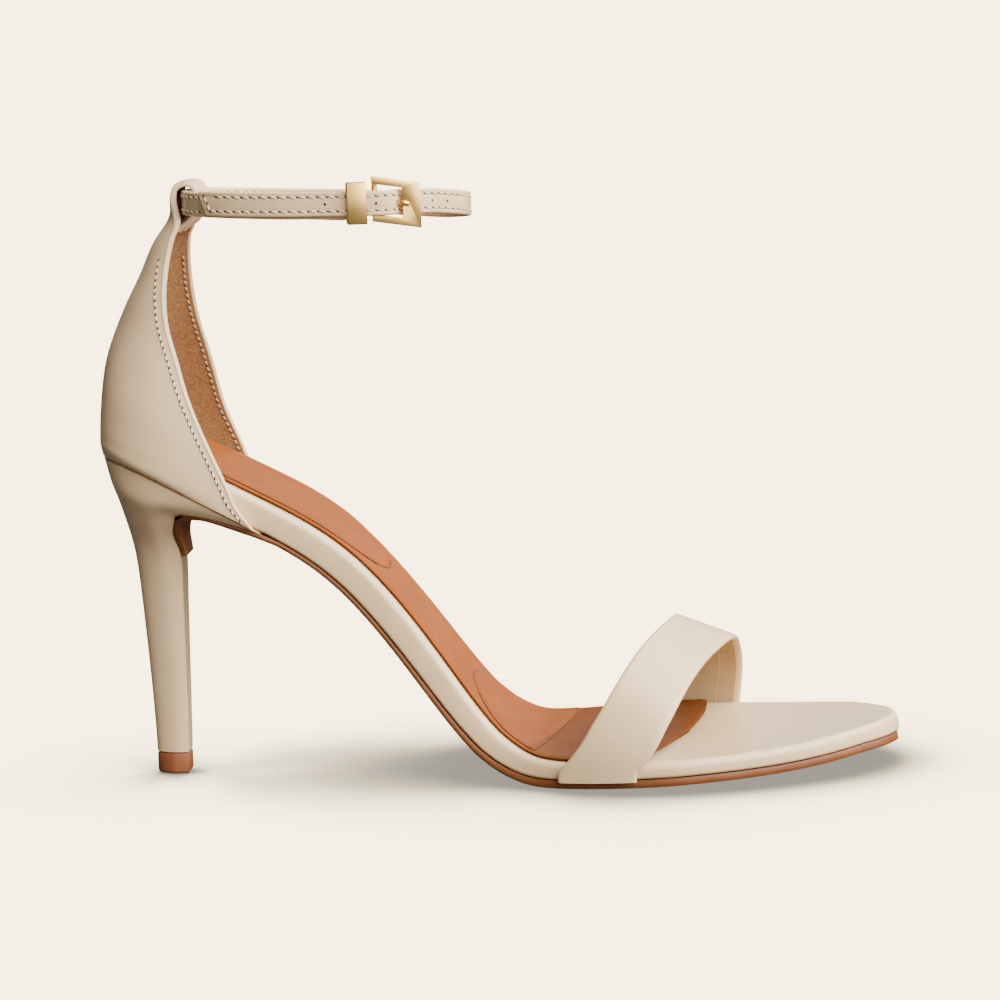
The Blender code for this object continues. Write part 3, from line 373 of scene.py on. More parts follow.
def sole_normal(x):
    """Unit normal of the board's underside, in the XZ plane."""
    rise = (SOLE_HEIGHT(x + GAP) - SOLE_HEIGHT(x - GAP)) / (2.0 * GAP)
    return Vector((-rise, 0.0, 1.0)).normalized()



def edge_lift(x, share):
    """Rise of the sole's edges over its flat middle, which fades out towards the shank and the tip."""
    fade = min(1.0, max(0.0, (x - sole_x(0.47)) / (SOLE_LENGTH * 0.09)))
    fade *= min(1.0, (TOE_X - x) / (SOLE_LENGTH * 0.05))
    beyond = max(0.0, (abs(share) - FLAT_SHARE) / (1.0 - FLAT_SHARE))
    return EDGE_LIFT * fade * beyond ** 2



def sole_point(x, y, offset, share=0.0):
    """Point over the board's underside: offset is measured along its normal."""
    base = Vector((x, y, SOLE_HEIGHT(x)))
    return base + sole_normal(x) * (offset + edge_lift(x, share))



def make_waist():
    """Half widths between the lip and the ball, one curve for each side of the foot."""
    sizes = {"waist": WAIST_WIDTH, "ball": BALL_WIDTH}
    places = [LIP_X] + [sole_x(row[0]) for row in WAIST_PLAN] + [BALL_X]
    curves = []
    for column in (2, 3):
        halves = [sizes[row[1]] * row[column] for row in WAIST_PLAN]
        halves = [SEAT_WIDTH / 2.0] + halves + [BALL_WIDTH / 2.0]
        curves.append(cubic(places, halves, 0.0, 0.0))
    return curves



WAIST_LATERAL, WAIST_MEDIAL = make_waist()



def half_width(x, side, inset=0.0):
    """Half width of the board at x, with its whole outline moved in by the inset."""
    if x < LIP_X:
        reach = LIP_X + SEAT_OVERHANG - inset
        share = min(1.0, (LIP_X - x) / reach)
        half = SEAT_WIDTH / 2.0 - inset
        return half * (1.0 - share ** SEAT_SQUARENESS) ** (1.0 / SEAT_SQUARENESS)
    if x > BALL_X:
        reach = TOE_X - BALL_X - inset
        share = min(1.0, (x - BALL_X) / reach)
        half = BALL_WIDTH / 2.0 - inset
        return half * (1.0 - share ** TOE_TAPER) ** (1.0 / TOE_SQUARENESS)
    if side < 0:
        return WAIST_LATERAL(x) - inset
    return WAIST_MEDIAL(x) - inset



def layer(column):
    """Curve of a layer's blend from forepart to shank, from its column in the table."""
    places = [sole_x(row[0]) for row in LAYER_BLEND]
    return cubic(places, [row[column] for row in LAYER_BLEND], 0.0, 0.0)



BOARD_BLEND = layer(1)



OUTSOLE_BLEND = layer(2)



def board_thickness(x):
    """Thickness of the covered board, square to its underside."""
    return blend(BOARD_FOREPART, BOARD_SHANK, BOARD_BLEND(x))



def outsole_thickness(x):
    """Thickness of the outsole, square to its top."""
    return blend(OUTSOLE_FOREPART, OUTSOLE_SHANK, OUTSOLE_BLEND(x))



def flap_end_z():
    """Height at which the outsole's flap ends on the heel's breast."""
    lip = sole_point(LIP_X, 0.0, -GAP)
    return blend(HEEL_TIP_HEIGHT + GAP, lip.z, 0.862)



def board_point(x, side, half, y, offset):
    """Point of the board at a distance y from the middle line, on one side of it."""
    return sole_point(x, side * y, offset, y / half)



def end_fall(x):
    """Rounding of the board's top over the tip of the toe, seen from the side."""
    inside = TOE_X - x
    if inside > BOARD_ROUND:
        return 0.0
    return BOARD_ROUND - math.sqrt(max(0.0, BOARD_ROUND ** 2 - (BOARD_ROUND - inside) ** 2))



def sock_front(share):
    """Place of the sock's front edge, which slants forward towards the inner side of the foot."""
    across = (share + 1.0) / 2.0
    reach = SOCK_FRONT_MEDIAL_X - SOCK_FRONT_LATERAL_X
    return SOCK_FRONT_LATERAL_X + reach * math.sin(across * math.pi / 2.0) ** 0.85



def counter_reach():
    """How far the counter's outer face stands outside the board."""
    return GAP + COUNTER_WALL



def heel_slices():
    """Slices of the heel with their corner points and half widths, tip first and seat last."""
    tip_z = HEEL_TIP_HEIGHT + GAP
    tip_back = Vector((-HEEL_TIP_DEPTH / 2.0, 0.0, tip_z))
    tip_front = Vector((HEEL_TIP_DEPTH / 2.0, 0.0, tip_z))
    seat_back = sole_point(-SEAT_OVERHANG - counter_reach() + GAP, 0.0, -GAP)
    lip = sole_point(LIP_X, 0.0, -GAP)
    tip_half = HEEL_TIP_WIDTH / 2.0
    seat_half = SEAT_WIDTH / 2.0 + counter_reach() - GAP
    names = ("back_x", "back_z", "front_x", "front_z", "front_half", "widest_half", "squareness")
    rows = HEEL_SLICES + ((1.0, 1.0, 1.0, 1.0, 1.0, 1.0, SEAT_SQUARENESS),)
    places = list(range(len(rows)))
    curves = {name: cubic(places, [row[column] for row in rows]) for column, name in enumerate(names)}
    slices = []
    for step in range((len(rows) - 1) * HEEL_STEPS + 1):
        share = {name: curve(step / HEEL_STEPS) for name, curve in curves.items()}
        back = Vector((blend(tip_back.x, seat_back.x, share["back_x"]), 0.0,
                       blend(tip_back.z, seat_back.z, share["back_z"])))
        front = Vector((blend(tip_front.x, lip.x, share["front_x"]), 0.0,
                        blend(tip_front.z, lip.z, share["front_z"])))
        slices.append({
            "back": back,
            "front": front,
            "front_half": blend(BREAST_WIDTH / 2.0, SEAT_WIDTH / 2.0, share["front_half"]),
            "widest_half": blend(tip_half, seat_half, share["widest_half"]),
            "squareness": share["squareness"],
        })
    return slices



def wrap_curve(wrap, squareness, half, depth_lateral, depth_medial):
    """Points of one horseshoe slice as (inward, across) pairs, from the lateral to the medial edge."""
    full = math.radians(wrap)
    edge_sine = power(math.sin(full), 2.0 / squareness)
    edge_cosine = power(math.cos(full), 2.0 / squareness)
    points = []
    for share in np.linspace(-1.0, 1.0, COUNTER_POINTS):
        angle = full * power(share, 1.3)
        sine = power(math.sin(angle), 2.0 / squareness)
        cosine = power(math.cos(angle), 2.0 / squareness)
        depth = depth_lateral if share < 0 else depth_medial
        points.append((depth * (1.0 - cosine) / (1.0 - edge_cosine), half * sine / edge_sine))
    return points



def offset_inward(points, wall):
    """The same slice moved inward by the wall, square to itself."""
    moved = []
    for index, point in enumerate(points):
        before = points[max(index - 1, 0)]
        after = points[min(index + 1, len(points) - 1)]
        run = (after[0] - before[0], after[1] - before[1])
        length = math.hypot(*run)
        moved.append((point[0] + wall * run[1] / length, point[1] - wall * run[0] / length))
    return moved



def counter_ring(origin, lean, curve, wall):
    """Closed ring of a slice: its outer face and its inner face, placed by its origin and lean."""
    inward = Vector((math.cos(math.radians(lean)), 0.0, math.sin(math.radians(lean))))
    across = Vector((0.0, 1.0, 0.0))
    outer = [origin + inward * a + across * b for a, b in curve]
    inner = [origin + inward * a + across * b for a, b in offset_inward(curve, wall)]
    return outer + inner[::-1]



def seat_ring():
    """Lowest ring of the counter, which follows the heel's seat round the board."""
    reach = counter_reach()
    back = -SEAT_OVERHANG - reach
    front = LIP_X - COUNTER_SETBACK
    half = SEAT_WIDTH / 2.0 + reach
    curve = wrap_curve(90.0, SEAT_SQUARENESS, half, front - back, front - back)
    ring = []
    for face in (curve, offset_inward(curve, COUNTER_WALL)[::-1]):
        for inward, across in face:
            place = sole_point(back + inward, 0.0, 0.0)
            ring.append(Vector((place.x, across, place.z)))
    return ring



def ankle_height():
    """Height of the middle of the ankle strap's width at the back."""
    return SEAT_HEIGHT + ANKLE_RISE



def loop_rings():
    """Rings of the loop, which goes up behind the strap, over it and down inside to the lining."""
    half_depth = STRAP_THICKNESS / 2.0 + LOOP_SLACK + LOOP_WALL + GAP
    half_height = STRAP_WIDTH / 2.0 + LOOP_WALL + GAP * 2.0
    middle = Vector((ankle_back_x() + GAP, 0.0, ankle_height()))
    rings = []
    for forward, up, turn, bow, wrap, width in LOOP_SLICES:
        origin = middle + Vector((forward * half_depth, 0.0, up * half_height))
        depth = LOOP_WIDTH * bow
        curve = wrap_curve(wrap, 2.0, LOOP_WIDTH / 2.0 * width, depth, depth)
        rings.append(counter_ring(origin, turn, curve, LOOP_WALL))
    return rings



def ankle_back_x():
    """Middle of the strap's thickness at the back, just in front of the counter's neck."""
    return NECK_BACK_X + ANKLE_STAND



def buckle_x():
    """Place of the buckle's pin, set back from the front of the ankle strap."""
    return ankle_back_x() + ANKLE_LENGTH - BUCKLE_SETBACK



def keeper_x():
    """Place of the keeper, set back from the buckle's pin."""
    return buckle_x() - KEEPER_SETBACK



def ankle_point(angle, offset):
    """Point on the strap's oval in plan, moved out by an offset. 0 degrees is the front, 90 medial."""
    half_length = ANKLE_LENGTH / 2.0
    half_width_here = ANKLE_WIDTH / 2.0
    centre_x = ankle_back_x() + half_length

    def place(degrees):
        radians = math.radians(degrees)
        return Vector((centre_x + half_length * power(math.cos(radians), 2.0 / ANKLE_SQUARENESS),
                       half_width_here * power(math.sin(radians), 2.0 / ANKLE_SQUARENESS), 0.0))

    along = (place(angle + 0.5) - place(angle - 0.5)).normalized()
    outward = Vector((along.y, -along.x, 0.0))
    return place(angle) + outward * offset



def ankle_angle(x):
    """Angle on the lateral side of the oval at a place along X, between -180 and 0 degrees."""
    half_length = ANKLE_LENGTH / 2.0
    share = (x - ankle_back_x() - half_length) / half_length
    return -math.degrees(math.acos(power(share, ANKLE_SQUARENESS / 2.0)))



def side_frame(x, drop=0.0):
    """Matrix of a frame on the lateral side of the strap: X forward, Y inward, Z up."""
    angle = ankle_angle(x)
    origin = ankle_point(angle, 0.0)
    forward = (ankle_point(angle + 1.0, 0.0) - ankle_point(angle - 1.0, 0.0)).normalized()
    up = Vector((0.0, 0.0, 1.0))
    inward = up.cross(forward)
    rotation = Matrix((forward, inward, up)).transposed().to_4x4()
    origin.z = ankle_height() - drop
    return Matrix.Translation(origin) @ rotation



def buckle_matrix():
    """Frame of the buckle: its side bars fall towards the end bar while its pin stays upright."""
    slant = Matrix.Identity(4)
    slant[2][0] = -math.tan(math.radians(BUCKLE_SLANT))
    middle = Matrix.Translation((BUCKLE_LENGTH / 2.0 - BUCKLE_PIN_RADIUS, 0.0, 0.0))
    return side_frame(buckle_x(), BUCKLE_DROP) @ middle @ slant @ middle.inverted()



def buckle_bar():
    """Place of the end bar's near edge along the buckle, from the middle of the pin."""
    return BUCKLE_LENGTH - BUCKLE_PIN_RADIUS - BUCKLE_END_BAR



def strap_route():
    """Middle line of the strap as (point, thickness, width), from its fold on the buckle to its tip."""
    buckle = side_frame(buckle_x())
    level = ankle_height()
    fold_radius = BUCKLE_PIN_RADIUS + GAP + STRAP_FOLD / 2.0
    lift = STRAP_THICKNESS + GAP
    route = []

    def fold(along, outward, low=STRAP_FOLD_DROP, thickness=STRAP_FOLD, width=STRAP_FOLD_WIDTH):
        point = buckle @ Vector((along, -BUCKLE_PIN_STAND - outward, -low))
        route.append((point, thickness, width))

    def band(along, outward):
        point = buckle @ Vector((along, -outward, -BUCKLE_DROP))
        route.append((point, STRAP_THICKNESS, STRAP_WIDTH))

    fold(-fold_radius * 1.7, fold_radius)
    fold(-fold_radius * 0.85, fold_radius)
    for degrees in range(90, -91, -30):
        radians = math.radians(degrees)
        fold(fold_radius * math.cos(radians), fold_radius * math.sin(radians))
    fold(-fold_radius, -fold_radius)
    fold(-fold_radius * 2.7, -fold_radius * 0.7, blend(STRAP_FOLD_DROP, UNDERLAP_DROP, 0.4),
         blend(STRAP_FOLD, STRAP_THICKNESS, 0.6), blend(STRAP_FOLD_WIDTH, STRAP_WIDTH, 0.6))
    dips = cubic([row[0] for row in ANKLE_DIPS], [row[1] for row in ANKLE_DIPS], 0.0, 0.0)
    start = ankle_angle(keeper_x() - KEEPER_LENGTH / 2.0)
    for angle in np.linspace(start, -177.0, 12):
        share = (angle - start) / (-180.0 - start)
        point = ankle_point(angle, 0.0)
        point.z = level - UNDERLAP_DROP * (1.0 - share) ** 2
        route.append((point, STRAP_THICKNESS, STRAP_WIDTH))
    front_end = ankle_angle(buckle_x() + BUCKLE_LENGTH + STRAP_THICKNESS * 2.0)
    for angle in np.linspace(172.0, front_end, 26):
        point = ankle_point(angle, 0.0)
        point.z = level - ANKLE_DIP * dips(angle)
        route.append((point, STRAP_THICKNESS, STRAP_WIDTH))
    bar = buckle_bar()
    over = BUCKLE_PIN_STAND + BUCKLE_PIN_RADIUS + 2.0 * PRONG_RADIUS + GAP * 1.5 + STRAP_THICKNESS / 2.0
    under = BUCKLE_STAND - GAP - STRAP_THICKNESS / 2.0
    band(bar + BUCKLE_END_BAR + GAP * 2.0, under * 0.8)
    for share, depth in STRAP_CLIMB:
        band(bar * share, blend(under, over, depth))
    band(-fold_radius * 1.6, blend(lift, over, 0.80))
    tip_start = ankle_angle(buckle_x() - fold_radius * 3.6)
    tip_end = ankle_angle(buckle_x() - STRAP_TIP_SETBACK)
    for angle in np.linspace(tip_start, tip_end, 12):
        share = (angle - tip_start) / (tip_end - tip_start)
        point = ankle_point(angle, blend(lift, over, max(0.0, 0.45 - 2.2 * share)))
        point.z = level + blend(-BUCKLE_DROP, GAP, share)
        route.append((point, STRAP_THICKNESS, STRAP_WIDTH))
    return route



def prong_path():
    """Path of the prong: over the end bar, through the strap's hole and round the pin."""
    pin = BUCKLE_PIN_STAND
    eye = BUCKLE_PIN_RADIUS + GAP * 0.8 + PRONG_RADIUS
    face = BUCKLE_STAND + BUCKLE_THICKNESS
    bar = buckle_bar()
    path = [(PRONG_REACH, face + GAP), (bar + GAP, face + GAP), (bar * 0.88, face - GAP * 0.4),
            (bar * 0.70, face - GAP * 2.6), (bar * 0.51, pin + GAP * 1.6), (eye + GAP * 2.6, pin + GAP)]
    for degrees in range(40, 321, 40):
        radians = math.radians(degrees)
        path.append((eye * math.cos(radians), pin + eye * math.sin(radians)))
    return [(along, -outward, 0.0) for along, outward in path]



def toe_strap_grid():
    """Outer points of the toe strap, rib by rib from the lateral foot, each from back to front."""
    places = [row[0] for row in TOE_STRAP_RIBS]
    backs = cubic(places, [row[1] for row in TOE_STRAP_RIBS])
    fronts = cubic(places, [row[2] for row in TOE_STRAP_RIBS])
    lateral_front = TOE_STRAP_FOOT_LATERAL_X + TOE_STRAP_FOOT_LATERAL_LENGTH
    medial_front = TOE_STRAP_FOOT_MEDIAL_X + TOE_STRAP_FOOT_MEDIAL_LENGTH
    grid = []
    for turn in np.linspace(0.0, 180.0, TOE_STRAP_TURNS):
        radians = math.radians(turn)
        rise = power(math.sin(radians), 2.0 / ARCH_SQUARENESS)
        cosine = power(math.cos(radians), 2.0 / ARCH_SQUARENESS)
        side = -1 if turn < 90.0 else 1
        back = blend(TOE_STRAP_FOOT_LATERAL_X, TOE_STRAP_FOOT_MEDIAL_X, backs(turn))
        front = blend(lateral_front, medial_front, fronts(turn))
        rib = []
        for share in np.linspace(0.0, 1.0, TOE_STRAP_COLUMNS):
            x = blend(back, front, share)
            half = half_width(x, side) + GAP + TOE_STRAP_WALL
            foot = sole_point(x, 0.0, BOARD_FOREPART * 0.45, 1.0).z
            top = blend(TOE_STRAP_BACK_RISE, TOE_STRAP_FRONT_RISE, share)
            rib.append(Vector((x, -half * cosine, blend(foot, top, rise))))
        grid.append(rib)
    return grid



def toe_strap_foot(rib):
    """Lower edge of the strap's foot, straight below the arch's end."""
    lower = []
    for point in rib:
        base = sole_point(point.x, 0.0, -GAP, 1.0)
        lower.append(Vector((point.x, point.y, base.z)))
    return lower




# Places for stitches, edges and reliefs
STITCH_INSET = 0.0014
STITCH_PITCH = 0.0026
COLLAR_STITCH_INSET = 0.0027
COLLAR_STITCH_PITCH = 0.0019
LINING_STITCH_INSET = 0.0020
THREAD_RADIUS = 0.00024
HOLE_SLANT = 32.0
EDGE_BEAD = 0.00072
HEEL_TOP_ROUND = 0.0005
BAND_SEAM = 0.66
SOCK_UNDERCUT = 0.0005
PAD_END_X = 0.0560
BALL_PAD_X = 0.0785
RIDGE_LATERAL_X = 0.0998
RIDGE_MEDIAL_X = 0.1130
SEAM_RADIUS = 0.00022
SEAM_RISE = 0.00012


def crowded(low, high, count):
    """Values between two limits that crowd towards both of them."""
    return [blend(low, high, (1.0 - math.cos(angle)) / 2.0) for angle in np.linspace(0.0, math.pi, count)]


def smooth_step(low, high, value):
    """Smooth rise from 0 to 1 between two limits."""
    share = min(1.0, max(0.0, (value - low) / (high - low)))
    return share * share * (3.0 - 2.0 * share)


def smooth_rows(rows, factor):
    """Rows of points with smooth rows put between them, through every given row."""
    rows = np.asarray(rows, float)
    count = len(rows)
    flat = rows.reshape(count, -1)
    gaps = np.linalg.norm(np.diff(rows.reshape(count, -1, rows.shape[-1]), axis=0), axis=2).mean(axis=1)
    places = np.concatenate(([0.0], np.cumsum(np.sqrt(gaps))))
    step = np.diff(places)
    system = np.zeros((count, count))
    right = np.zeros_like(flat)
    system[0, :2] = 1.0, 0.5
    right[0] = 1.5 * (flat[1] - flat[0]) / step[0]
    system[-1, -2:] = 0.5, 1.0
    right[-1] = 1.5 * (flat[-1] - flat[-2]) / step[-1]
    for row in range(1, count - 1):
        before = 1.0 / step[row - 1]
        after = 1.0 / step[row]
        system[row, row - 1:row + 2] = before, 2.0 * (before + after), after
        right[row] = 3.0 * ((flat[row] - flat[row - 1]) * before ** 2
                            + (flat[row + 1] - flat[row]) * after ** 2)
    slopes = np.linalg.solve(system, right)
    result = []
    for row in range(count - 1):
        for part in range(factor):
            share = part / factor
            rest = 1.0 - share
            result.append(flat[row] * (1.0 + 2.0 * share) * rest ** 2
                          + flat[row + 1] * share ** 2 * (3.0 - 2.0 * share)
                          + step[row] * (slopes[row] * share * rest ** 2
                                         - slopes[row + 1] * rest * share ** 2))
    result.append(flat[-1])
    return np.array(result).reshape((-1,) + rows.shape[1:])


def new_mesh(name, rows, closed_ring=True, closed_path=False, caps=True):
    """Mesh through rows of equal count."""
    build = bmesh.new()
    verts = [[build.verts.new(point) for point in row] for row in rows]
    pairs = list(zip(verts, verts[1:]))
    if closed_path:
        pairs.append((verts[-1], verts[0]))
    count = len(verts[0])
    for first, second in pairs:
        for index in range(count if closed_ring else count - 1):
            after = (index + 1) % count
            build.faces.new((first[index], first[after], second[after], second[index]))
    if caps and closed_ring and not closed_path:
        build.faces.new(verts[0])
        build.faces.new(verts[-1])
    bmesh.ops.recalc_face_normals(build, faces=build.faces)
    mesh = bpy.data.meshes.new(name)
    build.to_mesh(mesh)
    build.free()
    return mesh


def add(name, mesh, material, nodes=(), sharp=35.0):
    """Piece of the shoe that rides on its body and may stand for nodes of the model."""
    mesh.shade_smooth()
    mesh.set_sharp_from_angle(angle=math.radians(sharp))
    if not mesh.materials:
        mesh.materials.append(material)
    piece = bpy.data.objects.new(name, mesh)
    bpy.context.scene.collection.objects.link(piece)
    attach(piece, "root")
    if nodes:
        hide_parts(*nodes)
    return piece


def node_of(tree, kind, **values):
    """Shader node with its named inputs and settings filled in."""
    made = tree.nodes.new(kind)
    for key, value in values.items():
        if key in made.inputs:
            made.inputs[key].default_value = value
        else:
            setattr(made, key, value)
    return made


def colour_ramp(tree, source, low, high, start=0.0, end=1.0):
    """Two-colour ramp fed by a socket."""
    ramp = tree.nodes.new("ShaderNodeValToRGB")
    ramp.color_ramp.elements[0].position = start
    ramp.color_ramp.elements[0].color = (*low, 1.0)
    ramp.color_ramp.elements[1].position = end
    ramp.color_ramp.elements[1].color = (*high, 1.0)
    tree.links.new(source, ramp.inputs["Fac"])
    return ramp.outputs["Color"]


def number_range(tree, source, low, high, start=0.0, end=1.0):
    """Map Range node fed by a socket."""
    made = tree.nodes.new("ShaderNodeMapRange")
    made.inputs["From Min"].default_value = start
    made.inputs["From Max"].default_value = end
    made.inputs["To Min"].default_value = low
    made.inputs["To Max"].default_value = high
    tree.links.new(source, made.inputs["Value"])
    return made.outputs["Result"]


def texture(tree, kind, scale, stretch=(1.0, 1.0, 1.0), output="Fac", **values):
    """Texture in the object's own metres, with an optional stretch."""
    place = tree.nodes.new("ShaderNodeTexCoord")
    mapping = tree.nodes.new("ShaderNodeMapping")
    mapping.inputs["Scale"].default_value = stretch
    made = tree.nodes.new(kind)
    made.inputs["Scale"].default_value = scale
    for key, value in values.items():
        if key in made.inputs:
            made.inputs[key].default_value = value
        else:
            setattr(made, key, value)
    tree.links.new(place.outputs["Object"], mapping.inputs["Vector"])
    tree.links.new(mapping.outputs["Vector"], made.inputs["Vector"])
    return made.outputs[output]


def surface(name, low, high, roughness, grain=900.0, depth=0.00002, patch=70.0, pebble=0.0, stretch=(1.0, 1.0, 1.0),
            **shader_values):
    """Leather, suede, thread or metal: mottled colour, uneven roughness and a fine grain."""
    material = bpy.data.materials.new(name)
    material.use_nodes = True
    tree = material.node_tree
    shader = tree.nodes["Principled BSDF"]
    mottle = texture(tree, "ShaderNodeTexNoise", patch, stretch, Detail=4.0, Roughness=0.6)
    tree.links.new(colour_ramp(tree, mottle, low, high, 0.3, 0.7), shader.inputs["Base Color"])
    wear = texture(tree, "ShaderNodeTexNoise", patch * 3.1, stretch, Detail=5.0, Roughness=0.65)
    tree.links.new(number_range(tree, wear, roughness[0], roughness[1], 0.3, 0.7), shader.inputs["Roughness"])
    fine = texture(tree, "ShaderNodeTexNoise", grain, stretch, Detail=3.0, Roughness=0.6)
    bump = tree.nodes.new("ShaderNodeBump")
    bump.inputs["Distance"].default_value = depth
    bump.inputs["Strength"].default_value = 1.0
    tree.links.new(fine, bump.inputs["Height"])
    if pebble:
        cells = texture(tree, "ShaderNodeTexVoronoi", grain * 0.8, stretch, output="Distance")
        second = tree.nodes.new("ShaderNodeBump")
        second.inputs["Distance"].default_value = pebble
        tree.links.new(number_range(tree, cells, 1.0, 0.0, 0.0, 0.8), second.inputs["Height"])
        tree.links.new(bump.outputs["Normal"], second.inputs["Normal"])
        bump = second
    tree.links.new(bump.outputs["Normal"], shader.inputs["Normal"])
    for key, value in shader_values.items():
        shader.inputs[key.replace("_", " ").title().replace("Ior", "IOR")].default_value = value
    material.diffuse_color = (*high, 1.0)
    return material


CREAM = surface("cream_leather", (0.72, 0.50, 0.275), (0.77, 0.545, 0.31), (0.27, 0.35), grain=1400.0,
                depth=0.00001, patch=45.0, coat_weight=0.3, coat_roughness=0.22)
CREAM_EDGE = surface("cream_edge", (0.74, 0.535, 0.32), (0.79, 0.585, 0.36), (0.30, 0.42), grain=1800.0,
                     depth=0.00001, patch=120.0)
TAN = surface("tan_sock_leather", (0.215, 0.053, 0.0070), (0.25, 0.065, 0.010), (0.46, 0.56), grain=1900.0,
              depth=0.00002, patch=90.0, pebble=0.00002, specular_ior_level=0.07)
# Sock ahead of the cross seam: a second panel of darker tan, made darker still as painted shade of the toe strap
TAN_FRONT_SHADED = surface("tan_sock_front_shaded", (0.145, 0.042, 0.0085), (0.172, 0.052, 0.011), (0.46, 0.56), grain=1900.0,
                    depth=0.00002, patch=90.0, pebble=0.00002, specular_ior_level=0.08)
SUEDE = surface("suede_lining", (0.22, 0.095, 0.034), (0.36, 0.175, 0.072), (0.88, 1.0), grain=1900.0,
                depth=0.00016, patch=1300.0, specular_ior_level=0.15, sheen_weight=0.08, sheen_roughness=0.5)
SOLE_EDGE = surface("sole_edge", (0.145, 0.046, 0.0135), (0.185, 0.062, 0.019), (0.36, 0.48), grain=1300.0,
                    depth=0.00002, patch=160.0, specular_ior_level=0.25)
SOLE_LEATHER = surface("sole_leather", (0.36, 0.115, 0.030), (0.44, 0.155, 0.045), (0.55, 0.70), grain=1600.0,
                       depth=0.00003, patch=60.0, pebble=0.00002, specular_ior_level=0.06)
RUBBER = surface("tip_rubber", (0.215, 0.063, 0.020), (0.275, 0.086, 0.029), (0.45, 0.60), grain=2200.0,
                 depth=0.00003, patch=200.0)
THREAD = surface("cream_thread", (0.72, 0.54, 0.34), (0.84, 0.66, 0.45), (0.60, 0.80), grain=5200.0,
                 depth=0.00006, patch=2400.0)
TAN_THREAD = surface("tan_thread", (0.50, 0.30, 0.14), (0.62, 0.40, 0.20), (0.60, 0.80), grain=5200.0,
                     depth=0.00006, patch=2400.0)
# Dark colour of the needle holes and of the spare holes' insides: painted shade
NEEDLE_HOLE_SHADE = surface("needle_hole_shade", (0.055, 0.036, 0.022), (0.10, 0.068, 0.042), (0.80, 0.95), grain=2600.0,
                 depth=0.00002, patch=900.0)
BAND_LINING = surface("band_lining", (0.40, 0.275, 0.13), (0.47, 0.33, 0.17), (0.55, 0.68), grain=1500.0,
                      depth=0.00002, patch=90.0)
SEAM = surface("sock_seam", (0.12, 0.035, 0.008), (0.17, 0.052, 0.012), (0.60, 0.75), grain=2600.0,
               depth=0.00002, patch=900.0)
GOLD = surface("brushed_gold", (0.95, 0.58, 0.175), (0.98, 0.62, 0.20), (0.27, 0.31), grain=2400.0,
               depth=0.0000005, patch=260.0, stretch=(0.15, 1.0, 1.0), metallic=1.0)


def tube_mesh(name, points, radii, sides=14):
    """Round bar along a path of points, with a radius at each and flat ends."""
    points = [Vector(point) for point in points]
    rows = []
    normal = None
    for index, point in enumerate(points):
        along = points[min(index + 1, len(points) - 1)] - points[max(index - 1, 0)]
        along.normalize()
        if normal is None:
            normal = along.orthogonal().normalized()
        normal = (normal - along * normal.dot(along)).normalized()
        across = along.cross(normal)
        rows.append([point + (normal * math.cos(turn) + across * math.sin(turn)) * radii[index]
                     for turn in np.linspace(0.0, 2.0 * math.pi, sides, endpoint=False)])
    return new_mesh(name, rows)


def joined(name, meshes):
    """One mesh of several."""
    build = bmesh.new()
    for mesh in meshes:
        build.from_mesh(mesh)
        bpy.data.meshes.remove(mesh)
    mesh = bpy.data.meshes.new(name)
    build.to_mesh(mesh)
    build.free()
    return mesh


def walk(points, pitch, start=0.0, end=0.0):
    """Even steps along a path, as (index before, share to the next point)."""
    points = np.asarray(points, float)
    lengths = np.concatenate(([0.0], np.cumsum(np.linalg.norm(np.diff(points, axis=0), axis=1))))
    count = max(1, int(round((lengths[-1] - start - end) / pitch)))
    steps = []
    for place in np.linspace(start, lengths[-1] - end, count + 1):
        index = int(np.clip(np.searchsorted(lengths, place) - 1, 0, len(points) - 2))
        steps.append((index, (place - lengths[index]) / max(1e-9, lengths[index + 1] - lengths[index])))
    return steps


